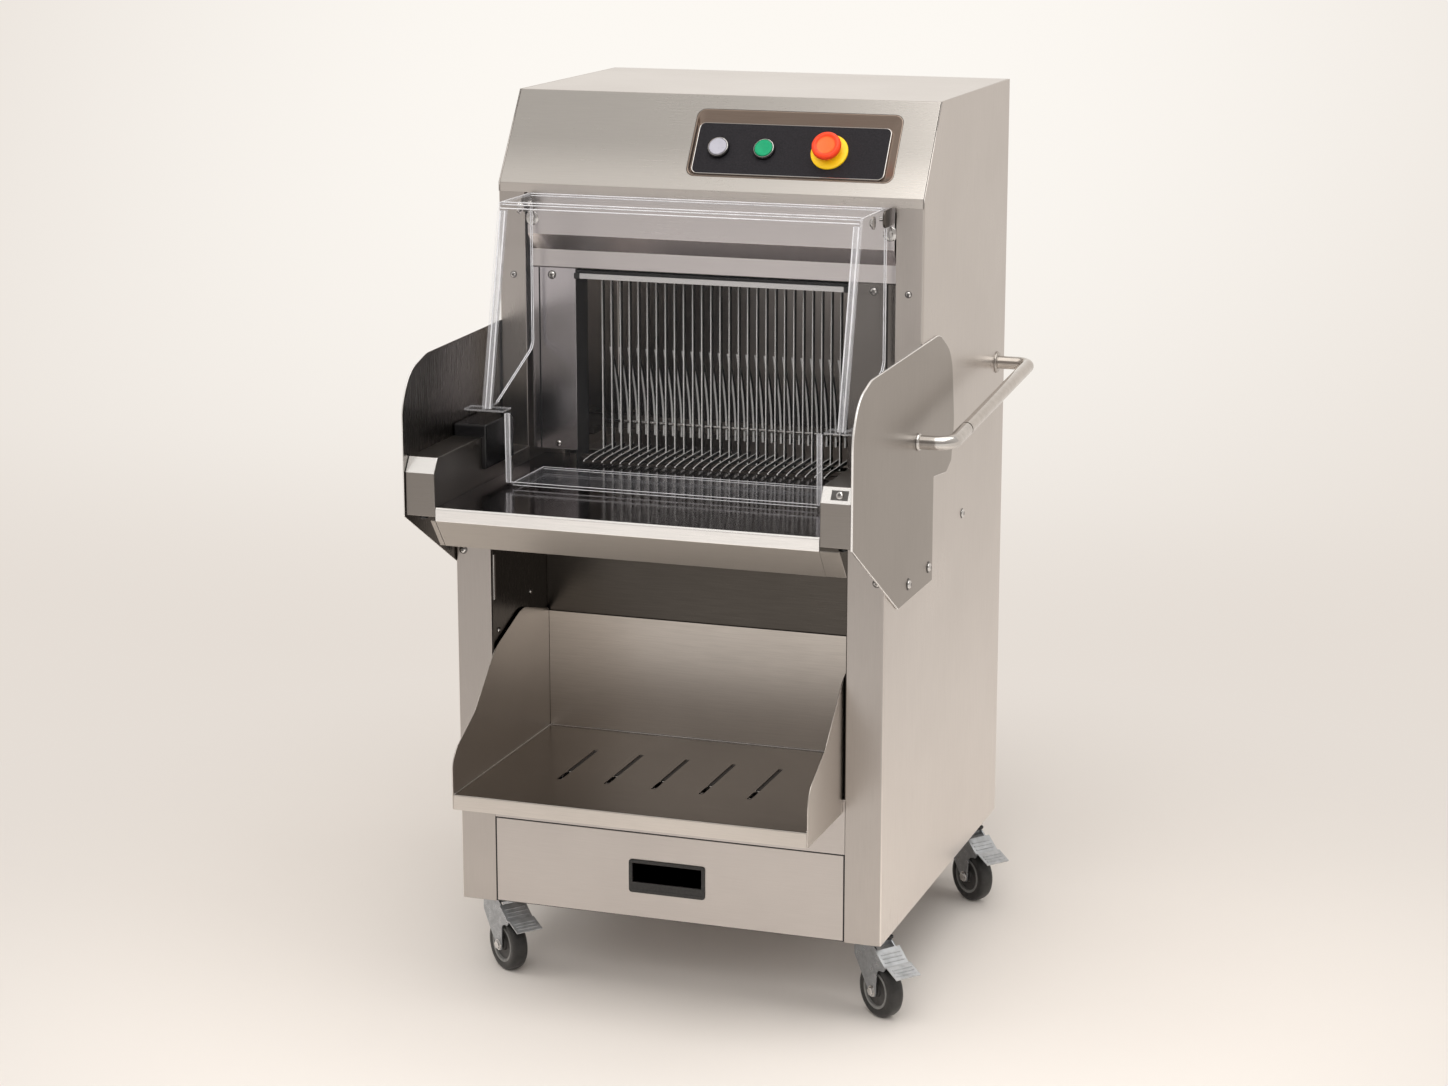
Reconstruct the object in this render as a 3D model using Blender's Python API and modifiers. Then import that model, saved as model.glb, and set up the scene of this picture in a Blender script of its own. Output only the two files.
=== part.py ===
"""Floor-standing bread slicer on castors: one object for each piece, in metres, +Z up.

X runs to the machine's right, Y to its back and Z up. The sizes below are measured from the
cabinet's middle (X), its lower front face (Y) and the floor (Z). An empty then moves the whole
machine, so that the world's origin is under the middle of its bounding box.
"""
import math

import bmesh
import bpy
from mathutils import Matrix, Quaternion, Vector

# Fits and finish
GAP = 0.0003                # between pieces that touch
OVERLAP = 0.0005            # how far joined shapes sink into each other
CUT_MARGIN = 0.004          # how far a cutter runs past what it cuts
RUN_GAP = 0.0005            # beside turning and sliding pieces
ROUND_SIDES = 20            # sides of a turned piece
FILLET_STEPS = 3            # straight runs in a rounded corner
ROUND_SHARP = math.radians(35)

# Main heights and depths
TABLE_TOP = 0.7366
BODY_DEPTH = 0.646

# Cabinet
BODY_HALF_WIDTH = 0.315
BODY_BOTTOM = 0.120
BODY_TOP = 1.263
SHEET = 0.002
THIN_SHEET = 0.0015
POST_WIDTH = 0.053          # front flange beside the shelf bay
POST_DROP = 0.0366
POST_TOP = TABLE_TOP - POST_DROP
STEP_FRONT = 0.175          # front face of the upper cabinet
UPPER_FLANGE_WIDTH = 0.040
SLOPE_DEPTH = 0.085
ROOF_FRONT = STEP_FRONT + SLOPE_DEPTH   # where the slanted face meets the roof
SLOPE_DROP = 0.125
SLOPE_FOOT = BODY_TOP - SLOPE_DROP
LIP_DROP = 0.013            # upright lip under the slanted face
SLOPE_ANGLE = math.atan2(SLOPE_DROP, SLOPE_DEPTH)
SIDE_INNER = BODY_HALF_WIDTH - SHEET
FIT_HALF_WIDTH = SIDE_INNER - GAP
POST_INNER = BODY_HALF_WIDTH - POST_WIDTH

# Control face, measured from the foot of the slanted face
RECESS_INSET, RECESS_LENGTH = 0.050, 0.302
RECESS_RIGHT = BODY_HALF_WIDTH - RECESS_INSET
RECESS_LEFT = RECESS_RIGHT - RECESS_LENGTH
RECESS_LOW, RECESS_HIGH = 0.022, 0.1285
RECESS_CORNER = 0.013
RECESS_DEPTH = 0.010
RECESS_WALL = 0.0015
RECESS_SLANT_HIGH = 0.018   # how far the floor's upper edge lies inside the rim
RECESS_SLANT_RIGHT = 0.016
RECESS_SLANT = 0.004        # the same for the left and lower edges
PLATE_THICKNESS = 0.0015
PLATE_MARGIN = 0.0006
BUTTON_SHARES = 0.0395 / 0.302, 0.107 / 0.302, 0.202 / 0.302   # of the recess's length, from its left edge
WHITE_AT, GREEN_AT, STOP_AT = (RECESS_LEFT + RECESS_LENGTH * share for share in BUTTON_SHARES)
CONTROL_HEIGHT = 0.070
BEZEL_RADIUS = 0.0158
BEZEL_HEIGHT = 0.0055
BEZEL_FLOOR = 0.001         # under the cap
BEZEL_EDGE = 0.001
BARREL_RADIUS = 0.011
BARREL_LENGTH = 0.032
CAP_RADIUS = 0.0128
CAP_RISE = 0.002
CAP_STEM_RADIUS = 0.006
BUTTON_TRAVEL = 0.003
COLLAR_RADIUS = 0.0268
COLLAR_HEIGHT = 0.003
STOP_RADIUS = 0.021
STOP_NECK_RADIUS = 0.010
STOP_NECK = 0.016
STOP_CROWN = 0.011
STOP_DISH = 0.002
STOP_TRAVEL = 0.005

# Header under the hood
HEADER_SETBACK = 0.001      # behind the upper flanges
HEADER_FRONT = STEP_FRONT + SHEET + HEADER_SETBACK
HEADER_OVERLAP = 0.010      # how far it stands up behind the lip
HEADER_BAND_DROP = 0.072
HEADER_BAND_FOOT = SLOPE_FOOT - HEADER_BAND_DROP
BEAM_SETBACK = 0.014
BEAM_FRONT = STEP_FRONT + BEAM_SETBACK
BEAM_DROP, BEAM_DEPTH = 0.023, 0.026
BEAM_TOP = HEADER_BAND_FOOT - BEAM_DROP
BEAM_FOOT = BEAM_TOP - BEAM_DEPTH
BLADE_FRAME_SETBACK = 0.049
BLADE_FRAME_FRONT = BEAM_FRONT + BLADE_FRAME_SETBACK
HEADER_CLEAR = 0.006        # from the beam's back edge to the blade frames
HEADER_RETURN = BLADE_FRAME_FRONT - HEADER_CLEAR
HEADER_GAP = 0.003          # dark gap beside the upper flanges
HEADER_HALF_WIDTH = BODY_HALF_WIDTH - UPPER_FLANGE_WIDTH - HEADER_GAP

# Throat
THROAT_INSET = 0.111
THROAT_HALF_WIDTH = BODY_HALF_WIDTH - THROAT_INSET
THROAT_DROP = 0.014
THROAT_TOP = BEAM_FOOT - THROAT_DROP
THROAT_WALL = 0.0025
FASCIA_LIFT = 0.0154
FASCIA_FOOT = TABLE_TOP + FASCIA_LIFT
FASCIA_GAP = 0.001

# Blades
BLADE_PITCH = 0.0139
BLADE_MARGIN = 0.008        # least distance from a blade to the throat's wall
BLADE_COUNT = 2 * int((THROAT_HALF_WIDTH - BLADE_MARGIN) / BLADE_PITCH)
BLADE_THICKNESS = 0.001
BLADE_SETBACK = 0.012
BLADE_FRONT = BLADE_FRAME_FRONT + BLADE_SETBACK
BLADE_DEPTH = 0.012
BLADE_TAB = 0.0045
BLADE_FOOT_DROP = 0.0166
BLADE_LOW = TABLE_TOP - BLADE_FOOT_DROP
BLADE_TOP_RISE = 0.003
BLADE_HIGH = BEAM_FOOT + BLADE_TOP_RISE
BLADE_STROKE = 0.015
FRAME_DEPTH = 0.0165
FRAME_INSET = 0.058
FRAME_HALF_WIDTH = BODY_HALF_WIDTH - FRAME_INSET
STILE_WIDTH = 0.014
FRAME_DROP = 0.0746
FRAME_LOW = TABLE_TOP - FRAME_DROP
FRAME_RISE = 0.063
FRAME_HIGH = BEAM_FOOT + FRAME_RISE
BEAM_HEIGHT = 0.025
GUIDE_DROP = 0.032
GUIDE_LOW = FRAME_LOW - GUIDE_DROP
GUIDE_RISE = 0.025
GUIDE_HIGH = FRAME_HIGH + GUIDE_RISE
GUIDE_WALL = 0.004
GUIDE_GRIP = 0.012          # how far the guide's flanges reach over the stiles
CRANK_BACK = BLADE_FRONT + BLADE_DEPTH / 2

# Infeed table, arms and wings
TABLE_FRONT = -0.163
TABLE_SHEET = 0.002
TABLE_BAND = 0.0186
TABLE_BAND_FOOT = TABLE_TOP - TABLE_BAND
APRON_FRONT = -0.132
APRON_DROP = 0.0596
APRON_FOOT = TABLE_TOP - APRON_DROP
TABLE_BACK_GAP = 0.006
COMB_LEAD, COMB_TAIL = 0.095, 0.035   # of the fingers before and behind the blades' front
COMB_FRONT = BLADE_FRONT - COMB_LEAD
COMB_BACK = BLADE_FRONT + COMB_TAIL
COMB_FINGER_WIDTH = 0.0024
COMB_FINGER_HEIGHT = 0.005
COMB_LIFT = 0.006           # from the table to the fingers' undersides
COMB_BAR_DEPTH = 0.010
COMB_BAR_CLEAR = 0.023
COMB_BAR_BACK = BLADE_FRAME_FRONT - COMB_BAR_CLEAR
ARM_WIDTH = 0.0425
ARM_DROP = 0.0131
ARM_FOOT = TABLE_TOP - ARM_DROP
ARM_RISE = 0.0664
ARM_TOP = TABLE_TOP + ARM_RISE
ARM_CHAMFER_DROP = 0.020
ARM_FACE_TOP = ARM_TOP - ARM_CHAMFER_DROP
ARM_CHAMFER = 0.013
ARM_STEP_RISE = 0.0204
ARM_STEP_TOP = TABLE_TOP + ARM_STEP_RISE   # its lower rear part, under the guard block
ARM_BACK_GAP = 0.0005
ARM_BACK = STEP_FRONT - ARM_BACK_GAP
BLOCK_FRONT, BLOCK_BACK = 0.0, 0.100
BLOCK_RISE = 0.063
BLOCK_TOP = ARM_STEP_TOP + BLOCK_RISE
BLOCK_WIDTH = 0.0495
BLOCK_INNER = BODY_HALF_WIDTH - BLOCK_WIDTH
BLOCK_CHAMFER = 0.008
WING_THICKNESS = 0.003
WING_FRONT = -0.167
WING_FRONT_RISE = 0.1334    # this and the next rises are from the table
WING_SHOULDER_BACK, WING_SHOULDER_RISE = -0.142, 0.1804
WING_TOP_FRONT_BACK, WING_TOP_FRONT_RISE = -0.083, 0.1969
WING_TOP_BACK_FRONT, WING_TOP_BACK_RISE = 0.255, 0.2034
WING_REAR_SHOULDER, WING_REAR_RISE = 0.323, 0.1664
WING_BACK, WING_BACK_RISE = 0.341, 0.0634
WING_HOOK_BACK, WING_HOOK_RISE = 0.3275, 0.0084
WING_HOOK_FRONT, WING_HOOK_DROP = 0.300, 0.0036
WING_TAIL_BACK, WING_TAIL_RISE = 0.2315, 0.0034
WING_TAIL_FRONT, WING_TAIL_DROP = 0.056, 0.1466
WING_NOSE_DROP = 0.0146
WING_ROUND = 0.066
WING_HOOK_ROUND = 0.006

# Clear guard
GUARD_SHEET = 0.004
GUARD_INSET = 0.053
GUARD_HALF_WIDTH = BODY_HALF_WIDTH - GUARD_INSET
GUARD_BACK_GAP = 0.015
GUARD_TOP_BACK = STEP_FRONT - GUARD_BACK_GAP
GUARD_DROP = 0.012
GUARD_TOP = SLOPE_FOOT - GUARD_DROP
GUARD_TOP_FRONT = 0.051
GUARD_KNEE = -0.018
GUARD_KNEE_RISE = 0.1084
GUARD_KNEE_HEIGHT = TABLE_TOP + GUARD_KNEE_RISE
GUARD_LOW_INSET = 0.0395
GUARD_LOW_HALF_WIDTH = GUARD_HALF_WIDTH - GUARD_LOW_INSET
GUARD_LOW_FRONT = -0.015
GUARD_FLANGE_LIFT = 0.003
GUARD_FLANGE_BACK = 0.105
GUARD_SIDE_GAP = 0.007
GUARD_SIDE_BACK = STEP_FRONT - GUARD_SIDE_GAP
GUARD_CORNER_SHARE = 0.2135   # of the front panel's height, where the side's back edge turns
GUARD_SIDE_CORNER = GUARD_KNEE_HEIGHT + (GUARD_TOP - GUARD_KNEE_HEIGHT) * GUARD_CORNER_SHARE
GUARD_SIDE_FOOT_BACK = 0.030
GUARD_PIVOT_GAP, GUARD_PIVOT_DROP = 0.020, 0.014
GUARD_PIVOT_BACK = STEP_FRONT - GUARD_PIVOT_GAP
GUARD_PIVOT_HEIGHT = GUARD_TOP - GUARD_PIVOT_DROP
GUARD_PIN_RADIUS = 0.0035
GUARD_FOOT_REACH = 0.030
GUARD_FOOT_DEPTH = 0.030
LUG_THICKNESS = 0.003
LUG_REACH = 0.012           # of the lug beyond the pin

# Lever with its inner arm and link
HANDLE_RADIUS = 0.010
LEVER_SETBACK, LEVER_RISE = 0.046, 0.1054
LEVER_BACK = BODY_DEPTH - LEVER_SETBACK
LEVER_HEIGHT = TABLE_TOP + LEVER_RISE
HANDLE_STANDOFF = 0.051     # from the cabinet's side to the grip's middle line
HANDLE_OUT = BODY_HALF_WIDTH + HANDLE_STANDOFF
HANDLE_FRONT = 0.145
HANDLE_FALL = 0.035         # of the grip's front end below its rear end
HANDLE_FRONT_HEIGHT = LEVER_HEIGHT - HANDLE_FALL
HANDLE_CORNER = 0.016
HANDLE_ELBOW = 0.034
HANDLE_FLANGE_RADIUS = 0.015
HANDLE_FLANGE = 0.004
BUSH_RADIUS = 0.015
BUSH_FLANGE_RADIUS = 0.022
BUSH_FLANGE = 0.003
LEVER_ARM_LENGTH = 0.100
LEVER_ARM_RISE = math.radians(10)
LEVER_ARM_THICKNESS = 0.006
LEVER_ARM_INSET = 0.007     # from the side panel's inner face
LEVER_HUB_RADIUS = 0.018
LINK_EYE_RADIUS = 0.010
LINK_THICKNESS = 0.004
LINK_PIN_RADIUS = 0.004
LINK_OPEN_GAP = 0.0009      # end gap at the pivot that stays open

# Pusher and slice rest
REST_DROP = 0.0016
REST_TOP = TABLE_TOP - REST_DROP
REST_CLEAR = 0.021
REST_FRONT = BLADE_FRONT + BLADE_DEPTH + REST_CLEAR
REST_SETBACK = 0.126
REST_BACK = BODY_DEPTH - REST_SETBACK
RAIL_INSET = 0.080
RAIL_OUT = BODY_HALF_WIDTH - RAIL_INSET
RAIL_WIDTH = 0.010
RAIL_HEIGHT = 0.015
PUSHER_FINGER_WIDTH = 0.003
PUSHER_LIFT = 0.023
PUSHER_FOOT = REST_TOP + PUSHER_LIFT
PUSHER_SETBACK = 0.061         # back edge of a finger at its foot
PUSHER_BACK = BLADE_FRONT + PUSHER_SETBACK
PUSHER_FINGER_DEPTH = 0.011
PUSHER_TIP_FORWARD = 0.041
PUSHER_FINGER = 0.1345
PUSHER_TIP = PUSHER_FOOT + PUSHER_FINGER
PUSHER_BAR_LIFT, PUSHER_BAR_HEIGHT = 0.030, 0.020
PUSHER_BAR_LOW = REST_TOP + PUSHER_BAR_LIFT
PUSHER_BAR_HIGH = PUSHER_BAR_LOW + PUSHER_BAR_HEIGHT
PUSHER_BAR_DEPTH = 0.008
# A finger's stations: up its height, forward towards the tip, and its depth there
FINGER_SHARES = ((0.0, 0.0, 1.0), (0.35, 0.1, 0.95), (0.65, 0.39, 0.8), (0.85, 0.7, 0.6),
                 (0.95, 0.89, 0.35))
SHOE_WIDTH = 0.020
SHOE_DEPTH = 0.040
PUSHER_LUG_INSET = 0.030
PUSHER_LUG_OUT = BODY_HALF_WIDTH - PUSHER_LUG_INSET
PUSHER_PIN_SETBACK = 0.003
PUSHER_PIN_BACK = PUSHER_BACK + PUSHER_PIN_SETBACK
PUSHER_PIN_LIFT = 0.055
PUSHER_PIN_HEIGHT = REST_TOP + PUSHER_PIN_LIFT
PUSHER_LUG_HALF = 0.010

# Bay, shelf and drawer
BAY_CRANK_CLEAR = 0.0525
BAY_BACK = CRANK_BACK - BAY_CRANK_CLEAR
BAY_DROP = 0.0216
BAY_TOP = TABLE_TOP - BAY_DROP
BAY_WALL = 0.0012
BAY_SIDE_GAP = 0.0005
DRAWER_FOOT_GAP, DRAWER_FRONT_HEIGHT = 0.0022, 0.1243
DRAWER_FOOT = BODY_BOTTOM + DRAWER_FOOT_GAP
DRAWER_TOP = DRAWER_FOOT + DRAWER_FRONT_HEIGHT
RAIL_FACE_GAP, RAIL_FACE = 0.002, 0.0797
RAIL_FACE_FOOT = DRAWER_TOP + RAIL_FACE_GAP
BAY_FLOOR_TOP = RAIL_FACE_FOOT + RAIL_FACE
TRAY_SIDE_GAP = 0.006
TRAY_HALF_WIDTH = POST_INNER - TRAY_SIDE_GAP
TRAY_SHEET = 0.0015
TRAY_FRONT = -0.158
TRAY_BACK_GAP = 0.0035
TRAY_BACK = BAY_BACK - TRAY_BACK_GAP
TRAY_LIP = 0.020            # height of the front lip, below the floor
TRAY_NOSE_RISE = 0.0565     # this and the next rises are from the tray's underside
TRAY_SHOULDER, TRAY_SHOULDER_RISE = -0.080, 0.0965
TRAY_MIDDLE, TRAY_MIDDLE_RISE = 0.000, 0.1715
TRAY_REAR, TRAY_REAR_RISE = 0.100, 0.2065
TRAY_SIDE_RISE = 0.1800
TRAY_BACK_RISE = 0.1765
TRAY_ROUND = 0.028
SLOT_COUNT = 5
SLOT_PITCH = 0.0702
SLOT_FIRST = -0.144
SLOT_WIDTH = 0.0068
SLOT_FRONT, SLOT_BACK = -0.045, 0.100
DRAWER_SIDE_GAP = 0.002
DRAWER_HALF_WIDTH = POST_INNER - DRAWER_SIDE_GAP
DRAWER_BOX_LIFT, DRAWER_BOX_DROP = 0.0083, 0.0105
DRAWER_BOX_LOW = BODY_BOTTOM + DRAWER_BOX_LIFT
DRAWER_BOX_HIGH = DRAWER_TOP - DRAWER_BOX_DROP
DRAWER_SETBACK = 0.066
DRAWER_BOX_BACK = BODY_DEPTH - DRAWER_SETBACK
DRAWER_WALL = 0.0015
DRAWER_BOX_INSET = 0.0005
PULL_HALF_WIDTH, PULL_HALF_HEIGHT = 0.057, 0.0245
PULL_RISE = 0.0608          # its middle above the drawer's foot
PULL_HEIGHT = DRAWER_FOOT + PULL_RISE
PULL_FLANGE = 0.0015
PULL_RIM = 0.0035
PULL_DEPTH = 0.024
PULL_WALL = 0.0015
PULL_CORNER = 0.004
PULL_LIP = 0.012            # upright lip that the fingers hook behind

# Base frame
BASE_RISE = 0.030
BASE_TOP = BODY_BOTTOM + BASE_RISE
BASE_LEDGE = 0.010
BASE_LEDGE_INNER = DRAWER_HALF_WIDTH - BASE_LEDGE
BASE_FRONT = 0.0025
BASE_SETBACK = 0.006
BASE_BACK = BODY_DEPTH - BASE_SETBACK
BASE_STRAP_DEPTH = 0.028
BASE_STRAP = 0.0022
BASE_CROSS_DEPTH = 0.020
BASE_SIDE_GAP = 0.0005

# Castors, in each castor's own frame: x is where the pedal points
CASTOR_INSET = 0.031
CASTOR_OUT = BODY_HALF_WIDTH - CASTOR_INSET
CASTOR_FRONT = 0.062
CASTOR_SETBACK = 0.075
CASTOR_BACK = BODY_DEPTH - CASTOR_SETBACK
CASTOR_HEADING = math.radians(-38)
CASTOR_TRAIL = 0.025
WHEEL_RADIUS = 0.040
WHEEL_HALF_WIDTH = 0.012
WHEEL_TYRE = 0.012
WHEEL_DISH = 0.004
WHEEL_HUB_RADIUS = 0.010
WHEEL_ROUND = 0.004
WHEEL_ROUND_MIDDLE = 0.00133   # half-way round the tyre's shoulder, from its tread and its face
AXLE_RADIUS = 0.004
AXLE_HEAD_RADIUS = 0.0065
AXLE_HEAD = 0.004
CASTOR_PLATE_HALF = 0.025
CASTOR_PLATE_DROP = 0.008
CASTOR_PLATE_FOOT = BODY_BOTTOM - CASTOR_PLATE_DROP
SWIVEL_RADIUS = 0.023
CROWN_TOP = CASTOR_PLATE_FOOT - RUN_GAP
CROWN_HEIGHT = 0.0085
CROWN_FOOT = CROWN_TOP - CROWN_HEIGHT
FORK_INNER = 0.0145
FORK_SHEET = 0.0025
FORK_BACK = -0.018
FORK_FRONT = 0.026
FORK_EAR_OUT, FORK_EAR_HEIGHT = 0.0575, 0.0855
FORK_EAR_LOW_OUT, FORK_EAR_LOW = 0.052, 0.0765
FORK_NOTCH_OUT, FORK_NOTCH_HEIGHT = 0.0355, 0.0745
FORK_WAIST = 0.085
FORK_FOOT_RADIUS = 0.009
PEDAL_PIVOT_OUT, PEDAL_PIVOT_HEIGHT = 0.036, 0.102
PEDAL_HALF_WIDTH = 0.021
PEDAL_SHEET = 0.002
PEDAL_GAP = 0.0008
PEDAL_FIRST = 0.030         # length of the upper tread
PEDAL_STEP = 0.004
PEDAL_SECOND = 0.028
PEDAL_SECOND_ANGLE = math.radians(-24)

# Drive
BRIDGE_RISE, BRIDGE_SHEET = 0.0575, 0.004
BRIDGE_TOP = DRAWER_TOP + BRIDGE_RISE
BRIDGE_CLEAR = 0.0125
BRIDGE_FRONT = BAY_BACK + BRIDGE_CLEAR
BRIDGE_SETBACK = 0.026
BRIDGE_BACK = BODY_DEPTH - BRIDGE_SETBACK
CRANK_RISE = 0.116
CRANK_HEIGHT = BRIDGE_TOP + CRANK_RISE
SHAFT_RADIUS = 0.010
BEARING_IN, BEARING_WIDTH = 0.034, 0.020
BEARING_HALF_DEPTH = 0.018
CRANK_IN, CRANK_THICKNESS = 0.060, 0.010
CRANK_RADIUS = 0.026
CRANK_PIN_RADIUS = 0.006
CRANK_PIN = 0.016
BIG_PULLEY_RADIUS = 0.044
SMALL_PULLEY_RADIUS = 0.018
PULLEY_HALF_WIDTH = 0.012
PULLEY_RIM = 0.002
BELT_HALF_WIDTH = 0.008
BELT_THICKNESS = 0.004
MOTOR_SETBACK, MOTOR_RISE = 0.186, 0.071
MOTOR_BACK = BODY_DEPTH - MOTOR_SETBACK
MOTOR_HEIGHT = BRIDGE_TOP + MOTOR_RISE
MOTOR_RADIUS = 0.062
MOTOR_LENGTH = 0.190
MOTOR_FRONT = 0.030
MOTOR_FOOT_HALF = 0.045
MOTOR_SHAFT_RADIUS = 0.009
ROD_THICKNESS = 0.008
ROD_EYE_RADIUS = 0.013
ROD_SMALL_RADIUS = 0.010
ROD_PIN_RADIUS = 0.005
WRIST_DROP = 0.017          # from the lower beam to the wrist pin
FRAME_LUG = 0.008

MACHINE_NAME = "bread_slicer"

# Machine bounds, which place it over the origin
WING_OUTER = BODY_HALF_WIDTH + GAP + WING_THICKNESS
BOUND_RIGHT = HANDLE_OUT + HANDLE_RADIUS
ORIGIN_X = (BOUND_RIGHT - WING_OUTER) / 2
ORIGIN_Y = (BODY_DEPTH + WING_FRONT) / 2


# Scene and collections

def clear_scene():
    for item in list(bpy.data.objects):
        bpy.data.objects.remove(item, do_unlink=True)


def new_collection(name):
    group = bpy.data.collections.new(name)
    bpy.context.scene.collection.children.link(group)
    return group


clear_scene()
PARTS = new_collection(MACHINE_NAME)
CUTTERS = new_collection("cutters")


def new_empty(name, place, parent=None, turn=(0.0, 0.0, 0.0)):
    empty = bpy.data.objects.new(name, None)
    PARTS.objects.link(empty)
    empty.parent = parent
    empty.location = place
    empty.rotation_euler = turn
    return empty


MACHINE = new_empty("machine", (-ORIGIN_X, -ORIGIN_Y, 0.0))
CONTROL_FACE = new_empty("control_face", (0.0, STEP_FRONT, SLOPE_FOOT), MACHINE, (SLOPE_ANGLE, 0.0, 0.0))


# Shapes

def new_object(name, mesh, place=(0.0, 0.0, 0.0), parent=MACHINE):
    mesh.name = name
    item = bpy.data.objects.new(name, mesh)
    PARTS.objects.link(item)
    item.parent = parent
    item.location = place
    return item


def mesh_from(work):
    mesh = bpy.data.meshes.new("shape")
    work.to_mesh(mesh)
    work.free()
    return mesh


def add_block(work, x, y, z):
    """Add a box between the two values of x, y and z."""
    low = Vector((min(x), min(y), min(z)))
    high = Vector((max(x), max(y), max(z)))
    size = high - low
    place = Matrix.Translation((low + high) / 2) @ Matrix.Diagonal((size.x, size.y, size.z, 1.0))
    bmesh.ops.create_cube(work, size=1.0, matrix=place)


def block(name, x, y, z, parent=MACHINE):
    """A box whose object stands at its middle."""
    middle = Vector(((x[0] + x[1]) / 2, (y[0] + y[1]) / 2, (z[0] + z[1]) / 2))
    work = bmesh.new()
    add_block(work, (x[0] - middle.x, x[1] - middle.x), (y[0] - middle.y, y[1] - middle.y),
              (z[0] - middle.z, z[1] - middle.z))
    return new_object(name, mesh_from(work), middle, parent)


AXIS_TURN = {"X": Matrix.Rotation(math.pi / 2, 4, "Y"), "Y": Matrix.Rotation(-math.pi / 2, 4, "X"),
             "Z": Matrix.Identity(4)}


def add_rod(work, axis, middle, radius, span, sides=ROUND_SIDES):
    """Add a cylinder along an axis, between the two values of span on that axis."""
    place = Vector(middle)
    place["XYZ".index(axis)] = (span[0] + span[1]) / 2
    bmesh.ops.create_cone(work, cap_ends=True, cap_tris=False, segments=sides, radius1=radius,
                          radius2=radius, depth=abs(span[1] - span[0]),
                          matrix=Matrix.Translation(place) @ AXIS_TURN[axis])


def rod(name, axis, middle, radius, span, parent=MACHINE, sides=ROUND_SIDES):
    work = bmesh.new()
    add_rod(work, axis, middle, radius, span, sides)
    return new_object(name, mesh_from(work), (0.0, 0.0, 0.0), parent)


OUTLINE_TURN = {
    "X": Matrix(((0, 0, 1, 0), (1, 0, 0, 0), (0, 1, 0, 0), (0, 0, 0, 1))),
    "Y": Matrix(((1, 0, 0, 0), (0, 0, -1, 0), (0, 1, 0, 0), (0, 0, 0, 1))),
    "Z": Matrix.Identity(4),
}


def plate(name, axis, outline, span, parent=MACHINE):
    """A flat outline, square to an axis, as thick as the two values of span are apart.

    The outline holds (y, z) points square to X, (x, z) points square to Y, and (x, y) points
    square to Z.
    """
    curve = bpy.data.curves.new(name, "CURVE")
    curve.dimensions = "2D"
    curve.fill_mode = "BOTH"
    curve.extrude = abs(span[1] - span[0]) / 2
    spline = curve.splines.new("POLY")
    spline.points.add(len(outline) - 1)
    for point, (across, up) in zip(spline.points, outline):
        point.co = (across, up, 0.0, 1.0)
    spline.use_cyclic_u = True
    shape = bpy.data.objects.new(name, curve)
    PARTS.objects.link(shape)
    shift = Vector((0.0, 0.0, 0.0))
    shift["XYZ".index(axis)] = (span[0] + span[1]) / 2
    mesh = mesh_of_curve(shape)
    mesh.transform(OUTLINE_TURN[axis])
    return new_object(name, mesh, shift, parent)


def mesh_of_curve(shape):
    """The closed mesh of a curve object, whose caps are welded, and the curve removed."""
    bpy.context.view_layer.update()
    seen = shape.evaluated_get(bpy.context.evaluated_depsgraph_get())
    mesh = bpy.data.meshes.new_from_object(seen)
    bpy.data.objects.remove(shape, do_unlink=True)
    work = bmesh.new()
    work.from_mesh(mesh)
    bmesh.ops.remove_doubles(work, verts=work.verts, dist=GAP / 10)
    bmesh.ops.recalc_face_normals(work, faces=work.faces)
    work.to_mesh(mesh)
    work.free()
    mesh.materials.clear()
    return mesh


def rounded(points, radius, steps=FILLET_STEPS):
    """The outline with each corner replaced by an arc of the radius given for it."""
    radii = radius if isinstance(radius, (list, tuple)) else [radius] * len(points)
    result = []
    for index, corner in enumerate(points):
        here = Vector(corner)
        before = Vector(points[index - 1])
        after = Vector(points[(index + 1) % len(points)])
        if radii[index] <= 0:
            result.append(tuple(here))
            continue
        to_before = (before - here).normalized()
        to_after = (after - here).normalized()
        half = to_before.angle(to_after) / 2
        reach = min(radii[index] / math.tan(half), (before - here).length / 2, (after - here).length / 2)
        centre = here + (to_before + to_after).normalized() * (reach / math.cos(half))
        start = here + to_before * reach - centre
        turn = start.angle_signed(here + to_after * reach - centre)
        for step in range(steps + 1):
            angle = -turn * step / steps
            result.append(tuple(centre + Matrix.Rotation(angle, 2) @ start))
    return result


def rectangle(x, y):
    return [(x[0], y[0]), (x[1], y[0]), (x[1], y[1]), (x[0], y[1])]


def arc(centre, radius, start, end, steps):
    """Points on an arc, with both angles in radians."""
    points = []
    for step in range(steps + 1):
        angle = start + (end - start) * step / steps
        points.append((centre[0] + radius * math.cos(angle), centre[1] + radius * math.sin(angle)))
    return points


def strip(path, thickness):
    """The outline of a bent sheet: the path is one face, and the sheet lies to its right."""
    corners = [Vector(point) for point in path]
    offset = []
    for index, corner in enumerate(corners):
        sides = []
        if index > 0:
            sides.append((corner - corners[index - 1]).normalized())
        if index < len(corners) - 1:
            sides.append((corners[index + 1] - corner).normalized())
        normals = [Vector((side.y, -side.x)) for side in sides]
        middle = sum(normals, Vector((0.0, 0.0))).normalized()
        offset.append(corner + middle * (thickness / middle.dot(normals[0])))
    return [tuple(corner) for corner in corners] + [tuple(corner) for corner in reversed(offset)]


def link_outline(first, first_radius, second, second_radius, steps=8):
    """A flat link with a round eye at each end."""
    along = math.atan2(second[1] - first[1], second[0] - first[0])
    return (arc(second, second_radius, along - math.pi / 2, along + math.pi / 2, steps)
            + arc(first, first_radius, along + math.pi / 2, along + 3 * math.pi / 2, steps))


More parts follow.
